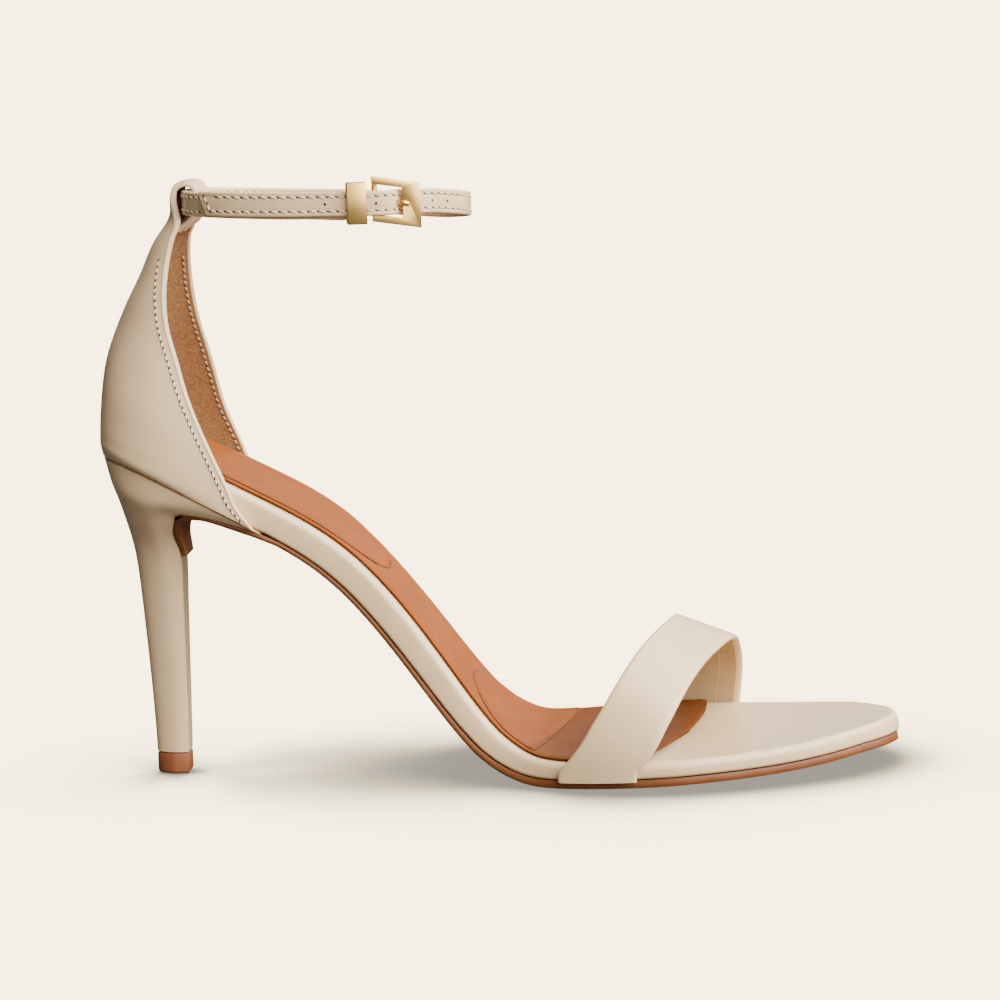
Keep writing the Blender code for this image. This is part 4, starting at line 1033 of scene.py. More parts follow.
def stitch_row(name, points, normals, pitch, start=0.0, end=0.0, slant=10.0, radius=THREAD_RADIUS, thread=THREAD):
    """Row of short threads sunk at both ends, with a needle hole between each two: a flat dark mark, painted shade
    of the hole.
    """
    points = [Vector(point) for point in points]
    normals = [Vector(normal) for normal in normals]
    spots = []
    for index, share in walk(points, pitch, start, end):
        after = min(index + 1, len(points) - 1)
        spots.append((points[index].lerp(points[after], share),
                      normals[index].lerp(normals[after], share).normalized()))
    threads = bmesh.new()
    holes = bmesh.new()
    for (first, normal), (second, other) in zip(spots, spots[1:]):
        along = second - first
        length = along.length
        along.normalize()
        up = (normal + other).normalized()
        side = along.cross(up).normalized()
        turned = math.radians(slant)
        lean = along * math.cos(turned) + side * math.sin(turned)
        middle = (first + second) / 2.0
        across = lean.cross(up).normalized()
        rows = []
        for share in (-1.0, -0.86, -0.5, 0.0, 0.5, 0.86, 1.0):
            height = radius * (0.95 - 1.75 * share ** 4)
            fat = radius * (1.15 - 0.55 * share ** 4)
            centre = middle + lean * share * length * 0.37 + up * (height - radius * 0.45)
            rows.append([threads.verts.new(centre + (across * math.cos(turn) + up * math.sin(turn)) * fat)
                         for turn in np.linspace(0.0, 2.0 * math.pi, 8, endpoint=False)])
        for before, after in zip(rows, rows[1:]):
            for index in range(8):
                nxt = (index + 1) % 8
                threads.faces.new((before[index], before[nxt], after[nxt], after[index]))
        threads.faces.new(rows[0])
        threads.faces.new(rows[-1])
    # Needle holes: flattened dark ellipsoids, painted shade of the holes and of the gaps between the threads
    for index, (point, normal) in enumerate(spots):
        along = spots[min(index + 1, len(spots) - 1)][0] - spots[max(index - 1, 0)][0]
        side = along.cross(normal).normalized()
        turned = math.radians(HOLE_SLANT if slant >= 0.0 else -HOLE_SLANT)
        lean = along.normalized() * math.cos(turned) + side * math.sin(turned)
        turn = Matrix((lean, normal.cross(lean), normal)).transposed().to_4x4()
        flat = Matrix.Translation(point) @ turn @ Matrix.Diagonal((2.2, 1.15, 0.25, 1.0))
        bmesh.ops.create_uvsphere(holes, u_segments=8, v_segments=5, radius=radius * 1.15, matrix=flat)
    for build, label, material in ((threads, name, thread), (holes, name + "_needle_shade", NEEDLE_HOLE_SHADE)):
        bmesh.ops.recalc_face_normals(build, faces=build.faces)
        mesh = bpy.data.meshes.new(label)
        build.to_mesh(mesh)
        build.free()
        add(label, mesh, material, sharp=80.0)


# Sole: outsole, covered board and padded sock
def fine_board_ring(x):
    """Section of the covered board with round corners above and below."""
    height = board_thickness(x) - end_fall(x)
    lower = []
    upper = []
    for side in (-1, 1):
        half = half_width(x, side)
        under = min(BOARD_CHAMFER, 0.35 * half)
        corner = min(BOARD_ROUND, (1.0 - FLAT_SHARE) * 0.9 * half, height * 0.6)
        low = [half * share for share in (0.2, FLAT_SHARE, 0.6, 0.75)]
        low_points = [board_point(x, side, half, min(y, half - under), 0.0) for y in low]
        for angle in (0, 22, 45, 68, 90):
            y = half - under + under * math.sin(math.radians(angle))
            low_points.append(board_point(x, side, half, y, under - under * math.cos(math.radians(angle))))
        arc = []
        for angle in (0, 11, 22, 34, 45, 56, 68, 79, 90):
            y = half - corner + corner * math.cos(math.radians(angle))
            up = height - corner + corner * math.sin(math.radians(angle))
            arc.append(board_point(x, side, half, y, up))
        for share in (0.7, FLAT_SHARE, 0.2):
            arc.append(board_point(x, side, half, min(half * share, half - corner), height))
        if side < 0:
            lower += low_points[::-1] + [sole_point(x, 0.0, 0.0)]
            upper += arc + [sole_point(x, 0.0, height)]
        else:
            lower += low_points
            upper += arc[::-1]
    return lower + upper[::-1]


def make_board():
    """Insole board wrapped in cream leather."""
    rows = [fine_board_ring(x) for x in crowded(-SEAT_OVERHANG + 0.00003, TOE_X - 0.00003, 240)]
    add("wrapped_board", new_mesh("wrapped_board", rows), CREAM, ("covered_board",), 50.0)


def pad_half(x, side):
    """Half width of the raised heel pad, which ends in a round front."""
    half = half_width(x, side, SOCK_INSET) - 0.0013
    front = 0.0150
    beyond = max(0.0, (x - (PAD_END_X - front)) / front)
    if beyond >= 1.0:
        return 0.0
    return half * (1.0 - beyond ** 2.6) ** (1.0 / 2.2)


def sock_relief(x, y):
    """Height of the sock's sewn pads, ridge and grooves over its smooth top."""
    side = -1 if y < 0 else 1
    rise = 0.0
    half = pad_half(x, side)
    inside = min(half - abs(y), PAD_END_X - x)
    rise += 0.00055 * smooth_step(-0.0001, 0.0014, inside)
    rise -= 0.00030 * math.exp(-(inside / 0.00050) ** 2)
    ball_half = ball_pad_half(x, side)
    ridge = ridge_x(y)
    inside = min(ball_half - abs(y), x - BALL_PAD_X, ridge - x)
    rise += 0.00055 * smooth_step(-0.0001, 0.0016, inside)
    rise -= 0.00030 * math.exp(-(inside / 0.00050) ** 2)
    beyond = min(x - ridge, half_width(x, side, SOCK_INSET) - 0.0018 - abs(y))
    rise -= 0.00030 * smooth_step(0.0, 0.0010, beyond)
    return rise


def make_sock():
    """Tan padded sock with its sewn heel pad and ball pad."""
    back = SOCK_INSET - SEAT_OVERHANG
    inner = np.linspace(-0.985, 0.985, 115)
    shares = np.concatenate(([-1.0, -0.9975, -0.992], inner, [0.992, 0.9975, 1.0]))
    rows = []
    for angle in np.linspace(math.radians(4.0), math.radians(90.0), 330):
        upper = []
        lower = []
        for share in shares:
            reach = sock_front(share) - back
            x = back + reach * (1.0 - math.cos(angle))
            side = -1 if share < 0 else 1
            half = half_width(x, side, SOCK_INSET)
            y = half * share
            over = y / half_width(x, side)
            base = board_thickness(x) + GAP * 0.6
            edge = min(half * (1.0 - abs(share)), (reach * math.cos(angle)) * 0.9)
            crown = SOCK_THICKNESS * (0.42 + 0.58 * smooth_step(0.0, 0.0011, edge)) + GAP * 0.8
            crown += sock_relief(x, y) * smooth_step(0.0002, 0.0014, edge)
            upper.append(sole_point(x, y, base + crown, over))
            if share in (-1.0, 1.0) or abs(share) < 0.009:
                under = max(0.0, 1.0 - SOCK_UNDERCUT / max(half, 0.001))
                lower.append(sole_point(x, y * under, base, over * under))
        rows.append(upper + lower[::-1])
    mesh = new_mesh("padded_sock", rows)
    mesh.materials.append(TAN)
    mesh.materials.append(TAN_FRONT_SHADED)
    # Faces ahead of the cross seam take the darker tan, partly a second panel and partly painted shade of the toe
    # strap
    for face in mesh.polygons:
        face.material_index = int(face.center.x > ridge_x(face.center.y))
    add("padded_sock", mesh, TAN, ("insole_sock",), 60.0)
    make_sock_seams()


def ball_pad_half(x, side):
    """Half width of the raised ball pad, which starts in a round back."""
    ease = max(0.0, min(1.0, (x - BALL_PAD_X) / 0.010))
    return (half_width(x, side, SOCK_INSET) - 0.0016) * (1.0 - (1.0 - ease) ** 2.2) ** 0.5


def ridge_x(y):
    """Place along the shoe of the sock's cross seam."""
    return blend(RIDGE_LATERAL_X, RIDGE_MEDIAL_X, (y + 0.03) / 0.06)


def make_sock_seams():
    """Fine seams around the heel pad and the ball pad, and the cross seam, pressed into the sock."""
    back = SOCK_INSET - SEAT_OVERHANG
    tubes = []
    heel = crowded(back + 0.0022, PAD_END_X - 0.00000001, 120)
    ball = crowded(BALL_PAD_X + 0.00000001, RIDGE_MEDIAL_X, 80)
    for side in (-1, 1):
        tubes.append([(x, side * pad_half(x, side)) for x in heel])
        run = [(x, side * ball_pad_half(x, side)) for x in ball]
        tubes.append([(x, y) for x, y in run if x < ridge_x(y)])
    cross = np.linspace(-1.0, 1.0, 40)
    ends = [tubes[1][-1][1], tubes[3][-1][1]]
    tubes.append([(ridge_x(y), y) for y in (blend(ends[0], ends[1], (share + 1.0) / 2.0) for share in cross)])
    meshes = []
    for run in tubes:
        points = []
        for x, y in run:
            side = -1 if y < 0 else 1
            top = board_thickness(x) + GAP * 1.4 + SOCK_THICKNESS + SEAM_RISE
            points.append(sole_point(x, y, top, y / half_width(x, side)))
        meshes.append(tube_mesh("seam", points, [SEAM_RADIUS] * len(points), 8))
    add("sock_seams", joined("sock_seams", meshes), SEAM, (), 60.0)


def fine_outsole_ring(top, up, halves, thickness, x):
    """Section of the outsole with a round lower edge, ground flat on the floor."""
    shares = (-1.0, -0.85, -0.7, -FLAT_SHARE, 0.0, FLAT_SHARE, 0.7, 0.85, 1.0)
    lower = []
    upper = []
    for share in shares:
        half = halves[0] if share < 0 else halves[1]
        chamfer = min(OUTSOLE_CHAMFER, 0.4 * half)
        y = half * share
        lift = edge_lift(x, share) if x is not None else 0.0
        if abs(share) == 1.0:
            corner = []
            for angle in (0, 30, 60, 90):
                inner = math.copysign(half - chamfer + chamfer * math.sin(math.radians(angle)), y)
                drop = lift - thickness + chamfer * (1.0 - math.cos(math.radians(angle)))
                corner.append(top + up * drop + Vector((0.0, inner, 0.0)))
            rim = [top + up * (lift - OUTSOLE_CHAMFER * 0.3) + Vector((0.0, y, 0.0)),
                   top + up * lift + Vector((0.0, math.copysign(half - OUTSOLE_CHAMFER * 0.3, y), 0.0))]
            for point in corner:
                point.z = max(point.z, 0.0)
            if share < 0:
                lower += corner[::-1]
                upper += rim
            else:
                lower += corner
                upper += rim[::-1]
            continue
        bottom = top + up * (lift - thickness) + Vector((0.0, y * 0.985, 0.0))
        bottom.z = max(bottom.z, 0.0)
        lower.append(bottom)
        upper.append(top + up * lift + Vector((0.0, y * 0.985, 0.0)))
    return lower + upper[::-1]


def make_outsole():
    """Leather outsole with a polished edge, and its flap on the heel's breast."""
    stations = [x for x in crowded(LIP_X + LIP_EASE, 2.0 * TOE_X - LIP_X - LIP_EASE, 420) if x < TOE_X - 0.00004]
    path = []
    for x in reversed(stations):
        beyond = max(0.0, (x - BALL_X) / (TOE_X - BALL_X))
        place = x - OUTSOLE_INSET * beyond
        halves = [half_width(place, side, OUTSOLE_INSET) for side in (-1, 1)]
        path.append((sole_point(place, 0.0, -GAP), halves, outsole_thickness(place), place))
    for slice_row in reversed(heel_slices()[:-1]):
        if slice_row["front"].z < flap_end_z():
            break
        half = slice_row["front_half"]
        path.append((slice_row["front"].copy(), [half, half], OUTSOLE_SHANK, None))
    points = [entry[0] for entry in path]
    rows = []
    for index, (point, halves, thickness, x) in enumerate(path):
        after = points[min(index + 1, len(points) - 1)]
        along = (after - points[max(index - 1, 0)]).normalized()
        up = Vector((along.z, 0.0, -along.x))
        top = point if x is not None else point - up * GAP
        rows.append(fine_outsole_ring(top, up, halves, thickness, x))
    mesh = new_mesh("leather_outsole", rows)
    mesh.materials.append(SOLE_EDGE)
    mesh.materials.append(SOLE_LEATHER)
    for face in mesh.polygons:
        on_flap = face.center.x < LIP_X and face.normal.x > 0.6
        if on_flap or (face.normal.z < -0.55 and face.center.x > BALL_X * 0.3):
            face.material_index = 1
    add("leather_outsole", mesh, None, ("outsole",), 50.0)


# Heel
def make_heel():
    """Slim covered heel with a flat breast."""
    slices = heel_slices()[::HEEL_STEPS]
    rows = []
    for row in slices[:-3] + slices[-1:]:
        ring = []
        for angle in np.linspace(0.0, 180.0, 73):
            sine = power(math.sin(math.radians(angle)), 2.0 / row["squareness"])
            cosine = power(math.cos(math.radians(angle)), 2.0 / row["squareness"])
            ease = min(1.0, sine / 0.45)
            half = blend(row["front_half"], row["widest_half"], ease * (2.0 - ease))
            point = row["front"].lerp(row["back"], sine)
            point.y = -half * cosine
            if row is slices[-1]:
                point.z = sole_point(point.x, 0.0, -GAP).z - HEEL_TOP_ROUND
            ring.append(tuple(point))
        rows.append(ring)
    rows = [[Vector(point) for point in row] for row in smooth_rows(rows, 8)]
    middle = Vector((LIP_X * 0.4, 0.0, 0.0))
    for inset, drop in ((0.0004, HEEL_TOP_ROUND), (0.0012, 0.0)):
        ring = []
        for point in rows[(len(slices) - 3) * 8]:
            flat = Vector((point.x - middle.x, point.y, 0.0))
            moved = point - flat * (inset / flat.length)
            moved.z = sole_point(moved.x, 0.0, -GAP).z - drop
            ring.append(moved)
        rows.append(ring)
    piece = add("covered_heel", new_mesh("covered_heel", rows), CREAM, ("heel",), 40.0)
    edge = piece.modifiers.new("edges", "BEVEL")
    edge.width = 0.0004
    edge.segments = 3
    edge.limit_method = "ANGLE"
    edge.angle_limit = math.radians(48.0)


def make_heel_tip():
    """Top piece with a soft lower edge and a thin parting line under the heel."""
    rows = []
    profile = ((0.0, 0.0009), (0.00012, 0.0005), (0.0004, 0.0002), (0.0009, 0.0), (0.0030, 0.0),
               (0.0054, 0.0), (0.0057, 0.0001), (HEEL_TIP_HEIGHT, 0.0004))
    for z, inset in profile:
        ring = []
        for angle in np.linspace(0.0, 180.0, 49):
            sine = math.sin(math.radians(angle))
            cosine = math.cos(math.radians(angle))
            half = blend(BREAST_WIDTH, HEEL_TIP_WIDTH, min(1.0, sine / 0.45)) / 2.0 - inset
            x = blend(HEEL_TIP_DEPTH / 2.0 - inset, -HEEL_TIP_DEPTH / 2.0 + inset, sine)
            ring.append(Vector((x, -half * cosine, z)))
        rows.append(ring)
    add("rubber_tip", new_mesh("rubber_tip", rows), RUBBER, ("heel_tip",), 40.0)


# Back of the upper
def counter_rows():
    """Rings of the counter and its loop, made smooth along their length."""
    reach = counter_reach()
    seat_back = sole_point(-SEAT_OVERHANG - reach, 0.0, 0.0)
    lip = sole_point(LIP_X - COUNTER_SETBACK, 0.0, 0.0)
    neck_z = SEAT_HEIGHT + COUNTER_RISE
    seat_half = SEAT_WIDTH / 2.0 + reach
    rings = [seat_ring()]
    count = len(COUNTER_SLICES)
    columns = [cubic(range(count), [row[column] for row in COUNTER_SLICES]) for column in range(8)]
    for step in range((count - 1) * COUNTER_STEPS + 1):
        values = [column(step / COUNTER_STEPS) for column in columns]
        back_x, back_z, lateral_x, medial_x, front_z, narrowing, squareness, wrap = values
        back = Vector((blend(seat_back.x, NECK_BACK_X, back_x), 0.0, blend(seat_back.z, neck_z, back_z)))
        front_height = blend(lip.z, neck_z, front_z)
        lateral = Vector((blend(lip.x, NECK_FRONT_LATERAL_X, lateral_x), 0.0, front_height))
        medial = Vector((blend(lip.x, NECK_FRONT_MEDIAL_X, medial_x), 0.0, front_height))
        middle = (lateral + medial) / 2.0 - back
        lean = math.degrees(math.atan2(middle.z, middle.x))
        half = blend(seat_half, NECK_WIDTH / 2.0, narrowing)
        curve = wrap_curve(wrap, squareness, half, (lateral - back).length, (medial - back).length)
        rings.append(counter_ring(back, lean, curve, COUNTER_WALL))
    rings += loop_rings()
    return smooth_rows([[tuple(point) for point in ring] for ring in rings], 5)


def make_counter():
    """Cream outside, suede lining, rounded light edge and the stitches beside it."""
    rows = counter_rows()
    outer = rows[:, :COUNTER_POINTS]
    inner = rows[:, COUNTER_POINTS:][:, ::-1]
    middle = outer + (inner - outer) * 0.72
    shell = [np.concatenate((a, b[::-1])) for a, b in zip(outer, middle)]
    add("counter_leather", new_mesh("counter_leather", shell), CREAM, ("counter",), 50.0)
    top = middle + (inner - middle) * 0.12
    lining = [np.concatenate((a, b[::-1])) for a, b in zip(top, inner)]
    add("suede_lining", new_mesh("suede_lining", lining), SUEDE, (), 50.0)
    for label, edge, beside in (("lateral", 0, 1), ("medial", -1, -2)):
        path = []
        for a, b in zip(rows[:, :COUNTER_POINTS], inner):
            centre = Vector((a[edge] + b[edge]) / 2.0)
            thick = Vector(b[edge] - a[edge])
            out = (Vector(a[edge] - a[beside]) + Vector(b[edge] - b[beside])).normalized()
            wall = thick.length
            path.append((centre, thick.normalized(), out, wall))
        bead = []
        for number, (centre, thick, out, wall) in enumerate(path):
            beyond = smooth_step(0.62, 0.78, number / len(path))
            size = EDGE_BEAD * (1.0 - 0.35 * beyond)
            middle_point = centre - out * size * 0.62
            bead.append([middle_point + thick * math.cos(turn) * (wall * 0.5 + 0.00018 - 0.00012 * beyond)
                         + out * math.sin(turn) * size
                         for turn in np.linspace(0.0, 2.0 * math.pi, 20, endpoint=False)])
        add("collar_edge_" + label, new_mesh("collar_edge_" + label, bead), CREAM_EDGE, (), 60.0)
        lines = {"outside": ([], []), "inside": ([], [])}
        for a, b in zip(outer, inner):
            if not SEAT_HEIGHT * 0.80 < a[edge][2] < SEAT_HEIGHT + COUNTER_RISE * 0.86:
                continue
            for face, ring, other in (("outside", a, b), ("inside", b, a)):
                run = ring if edge == 0 else ring[::-1]
                back = other if edge == 0 else other[::-1]
                lengths = np.concatenate(([0.0], np.cumsum(np.linalg.norm(np.diff(run, axis=0), axis=1))))
                inset = COLLAR_STITCH_INSET if face == "outside" else LINING_STITCH_INSET
                index = int(np.searchsorted(lengths, inset)) - 1
                share = (inset - lengths[index]) / (lengths[index + 1] - lengths[index])
                point = Vector(run[index]).lerp(Vector(run[index + 1]), share)
                deep = Vector(back[index]).lerp(Vector(back[index + 1]), share)
                lines[face][0].append(point)
                lines[face][1].append((point - deep).normalized())
        for face, (points, normals) in lines.items():
            keep = len(rows) if face == "outside" else len(points)
            stitch_row("collar_stitches_%s_%s" % (label, face), points[:keep], normals[:keep],
                       COLLAR_STITCH_PITCH, slant=14.0 if edge == 0 else -14.0,
                       thread=THREAD if face == "outside" else TAN_THREAD)
    loop_tail_stitches(rows)


def loop_tail_stitches(rows):
    """Two short rows that sew the loop's tail to the lining."""
    last = len(rows) - 1
    for number, back in enumerate((4, 9)):
        ring = rows[last - back][COUNTER_POINTS:][::-1]
        other = rows[last - back][:COUNTER_POINTS]
        points = [Vector(point) for point in ring[12:-12]]
        normals = [(Vector(a) - Vector(b)).normalized() for a, b in zip(ring[12:-12], other[12:-12])]
        stitch_row("loop_stitches_%d" % number, points, normals, COLLAR_STITCH_PITCH * 0.8)


# Toe strap
def make_toe_strap():
    """Folded band over the toes with round edges and its lining."""
    grid = toe_strap_grid()
    lower_first = toe_strap_foot(grid[0])
    lower_last = toe_strap_foot(grid[-1])
    grid = [lower_first] + grid + [lower_last]
    last = TOE_STRAP_COLUMNS - 1
    edge = TOE_STRAP_WALL / 2.0
    rows = []
    outsides = []
    for number, outer in enumerate(grid):
        before = grid[max(number - 1, 0)]
        after = grid[min(number + 1, len(grid) - 1)]
        width = sum((outer[c + 1] - outer[c]).length for c in range(last))
        up = []
        down = []
        pairs = []
        spots = [0.0, 0.04, 0.15, 0.35, 0.65, 1.0]
        shares = [spot * edge * 1.15 / width for spot in spots]
        shares += list(np.linspace(shares[-1], 1.0 - shares[-1], 26))[1:-1]
        shares += [BAND_SEAM - 0.013, BAND_SEAM - 0.012, BAND_SEAM + 0.012, BAND_SEAM + 0.013]
        shares.sort()
        shares += [1.0 - share for share in shares[:6][::-1]]
        for share in shares:
            column = min(int(share * last), last - 1)
            part = share * last - column
            point = outer[column].lerp(outer[column + 1], part)
            along = (after[column].lerp(after[column + 1], part)
                     - before[column].lerp(before[column + 1], part))
            sideways = outer[min(column + 1, last)] - outer[max(column, 0)]
            inward = along.cross(sideways).normalized()
            depth = min(share, 1.0 - share) * width / (edge * 1.15)
            half = edge * math.sqrt(max(0.0, 1.0 - (1.0 - min(1.0, depth)) ** 2))
            middle = point + inward * edge
            up.append(middle - inward * half)
            down.append(middle + inward * half)
            pairs.append((middle + inward * edge, inward, share))
        rows.append(up + down[-2:0:-1])
        outsides.append(pairs)
    add("toe_band", new_mesh("toe_band", rows), CREAM, ("toe_strap",), 60.0)
    panels = []
    for low, high in ((0.10, BAND_SEAM - 0.012), (BAND_SEAM + 0.012, 0.93)):
        panel = []
        for pairs in outsides[2:-2]:
            part = [pair for pair in pairs if low <= pair[2] <= high]
            near = [point - inward * 0.0001 for point, inward, share in part]
            far = [point + inward * 0.00022 for point, inward, share in part]
            panel.append(near + far[::-1])
        panels.append(new_mesh("toe_band_lining", panel))
    add("toe_band_lining", joined("toe_band_lining", panels), BAND_LINING, (), 60.0)


# Ankle strap
def strap_rows():
    """Middle line of the ankle strap, made smooth: rows of (x, y, z, thickness, width)."""
    route = strap_route()
    return smooth_rows([[(*point, thickness, width)] for point, thickness, width in route], 6)[:, 0]


def strap_frames(rows):
    """Point, way along, way out, thickness and width at each step of the strap."""
    frames = []
    for index, row in enumerate(rows):
        along = Vector(rows[min(index + 1, len(rows) - 1)][:3]) - Vector(rows[max(index - 1, 0)][:3])
        along.z = 0.0
        along.normalize()
        frames.append((Vector(row[:3]), along, Vector((-along.y, along.x, 0.0)), row[3], row[4]))
    return frames


def make_ankle_strap():
    """Doubled band with pressed stitch lines, round edges, prong holes and a slanted tip."""
    frames = strap_frames(strap_rows())
    rows = []
    for index, (point, along, outward, thickness, width) in enumerate(frames):
        face = []
        half_width_here = width / 2.0
        for share in (-1.0, -0.985, -0.94, -0.88, -0.78, -0.70, -0.62, -0.57, -0.52, -0.42, -0.2, 0.0,
                      0.2, 0.42, 0.52, 0.57, 0.62, 0.70, 0.78, 0.88, 0.94, 0.985, 1.0):
            up = share * half_width_here
            edge = min(1.0, (half_width_here - abs(up)) / (thickness * 0.30))
            half = thickness / 2.0 * (0.30 + 0.70 * math.sqrt(max(0.0, 1.0 - (1.0 - edge) ** 2)))
            if width > STRAP_WIDTH * 0.98:
                groove = (half_width_here - abs(up) - STITCH_INSET) / 0.00035
                half -= 0.00012 * math.exp(-groove ** 2)
            face.append((up, half))
        left = len(frames) - 1 - index
        slant = STRAP_TIP_SLANT / 2.0 * max(0.0, 1.0 - left / 6.0)
        ring = []
        for sign, part in ((1.0, face), (-1.0, face[::-1])):
            for up, half in part:
                lean = along * slant * (up / half_width_here)
                ring.append(point + outward * half * sign + Vector((0.0, 0.0, up)) + lean)
        rows.append(ring)
    mesh = new_mesh("strap_leather", rows)
    mesh = with_holes(mesh, frames)
    add("strap_leather", mesh, CREAM, ("ankle_strap",), 50.0)
    strap_stitches(frames)


def with_holes(mesh, frames):
    """The strap's mesh with its prong hole, the slot for the prong's eye and the spare holes cut out."""
    matrix = buckle_matrix()
    room = PRONG_RADIUS + GAP
    cutters = [tube_mesh("hole", [matrix @ Vector(point) for point in prong_path()[1:6]], [room] * 5)]
    eye = BUCKLE_PIN_RADIUS + PRONG_RADIUS + GAP
    cutters.append(box_mesh("slot", (-eye * 1.5, -BUCKLE_PIN_STAND - eye * 1.45, -room),
                            (eye * 1.6, -BUCKLE_PIN_STAND + eye * 1.45, room), matrix))
    plugs = []
    for spot in spare_holes(frames):
        point, outward = spot
        cutters.append(tube_mesh("spare", [point - outward * 0.0016, point + outward * 0.0016],
                                 [SPARE_HOLE_RADIUS] * 2, 16))
        # A dark plug inside each spare hole, painted shade of the hole
        plugs.append(tube_mesh("plug", [point - outward * 0.0005, point + outward * 0.0005],
                               [SPARE_HOLE_RADIUS * 0.98] * 2, 16))
    add("strap_hole_plug_shade", joined("strap_hole_plug_shade", plugs), NEEDLE_HOLE_SHADE, (), 40.0)
    target = bpy.data.objects.new("strap_cut", mesh)
    cutter = bpy.data.objects.new("strap_cutter", joined("cutter", cutters))
    for item in (target, cutter):
        bpy.context.scene.collection.objects.link(item)
    step = target.modifiers.new("holes", "BOOLEAN")
    step.operation = "DIFFERENCE"
    step.solver = "EXACT"
    step.use_self = True
    step.object = cutter
    return baked(target, cutter)


def baked(target, *helpers):
    """Final mesh of an object with its modifiers, with the object and its helpers removed."""
    bpy.context.view_layer.update()
    evaluated = target.evaluated_get(bpy.context.evaluated_depsgraph_get())
    mesh = bpy.data.meshes.new_from_object(evaluated)
    mesh.materials.clear()
    for item in (target, *helpers):
        bpy.data.objects.remove(item, do_unlink=True)
    return mesh


SPARE_HOLE_RADIUS = 0.00042
SPARE_HOLES = (-0.0199, -0.0140, 0.0037, 0.0104, 0.0171)


def spare_holes(frames):
    """Places of the spare holes, at even steps along the strap on both sides of the prong."""
    pin = side_frame(buckle_x()).translation
    places = [frame_row[0] for frame_row in frames]
    lengths = np.concatenate(([0.0], np.cumsum([(b - a).length for a, b in zip(places, places[1:])])))
    late = len(frames) * 2 // 3
    prong = min(range(late, len(frames)), key=lambda i: (places[i] - pin - Vector((0.0024, 0.0, 0.0))).length)
    spots = []
    for distance in SPARE_HOLES:
        wanted = lengths[prong] + distance
        index = int(np.searchsorted(lengths, wanted)) - 1
        share = (wanted - lengths[index]) / (lengths[index + 1] - lengths[index])
        spots.append((places[index].lerp(places[index + 1], share), frames[index][2]))
    return spots


def strap_stitches(frames):
    """Stitches along both edges of the strap, on both of its faces, and across its slanted tip."""
    wide = [row for row in frames if row[4] > STRAP_WIDTH * 0.98]
    for label, sign in (("upper", 1.0), ("lower", -1.0)):
        height = sign * (STRAP_WIDTH / 2.0 - STITCH_INSET)
        for face, out in (("outside", 1.0), ("inside", -1.0)):
            end = 0.0050 if sign > 0 else 0.0026
            points = [point + outward * out * (thickness / 2.0 - 0.00010) + Vector((0.0, 0.0, height))
                      for point, along, outward, thickness, width in wide]
            normals = [outward * out for point, along, outward, thickness, width in wide]
            stitch_row("strap_stitches_%s_%s" % (label, face), points, normals, STITCH_PITCH, start=0.0030,
                       end=end, slant=12.0)
    point, along, outward, thickness, width = wide[-1]
    base = point - along * 0.0019 + outward * (thickness / 2.0 - 0.00002)
    ends = []
    for share in (-1.0, 1.0):
        up = share * (STRAP_WIDTH / 2.0 - 0.0012)
        ends.append(base + Vector((0.0, 0.0, up)) + along * STRAP_TIP_SLANT / 2.0 * share * 0.72)
    stitch_row("strap_stitches_tip", ends, [outward, outward], STITCH_PITCH * 0.8)


# Buckle
def box_mesh(name, low, high, matrix):
    """Box between two corners of a local frame."""
    build = bmesh.new()
    bmesh.ops.create_cube(build, size=1.0)
    bmesh.ops.scale(build, vec=Vector(high) - Vector(low), verts=build.verts)
    bmesh.ops.translate(build, vec=(Vector(high) + Vector(low)) / 2.0, verts=build.verts)
    bmesh.ops.transform(build, matrix=matrix, verts=build.verts)
    mesh = bpy.data.meshes.new(name)
    build.to_mesh(mesh)
    build.free()
    return mesh


def shaped(name, mesh, cuts, bevel):
    """Mesh with its cuts taken out and every sharp edge rounded."""
    target = bpy.data.objects.new(name, mesh)
    bpy.context.scene.collection.objects.link(target)
    helpers = []
    for number, cut_mesh in enumerate(cuts):
        helper = bpy.data.objects.new("%s_cut_%d" % (name, number), cut_mesh)
        bpy.context.scene.collection.objects.link(helper)
        step = target.modifiers.new("cut", "BOOLEAN")
        step.solver = "EXACT"
        step.object = helper
        helpers.append(helper)
    edge = target.modifiers.new("edges", "BEVEL")
    edge.width = bevel
    edge.segments = 3
    edge.limit_method = "ANGLE"
    edge.angle_limit = math.radians(40.0)
    return baked(target, *helpers)


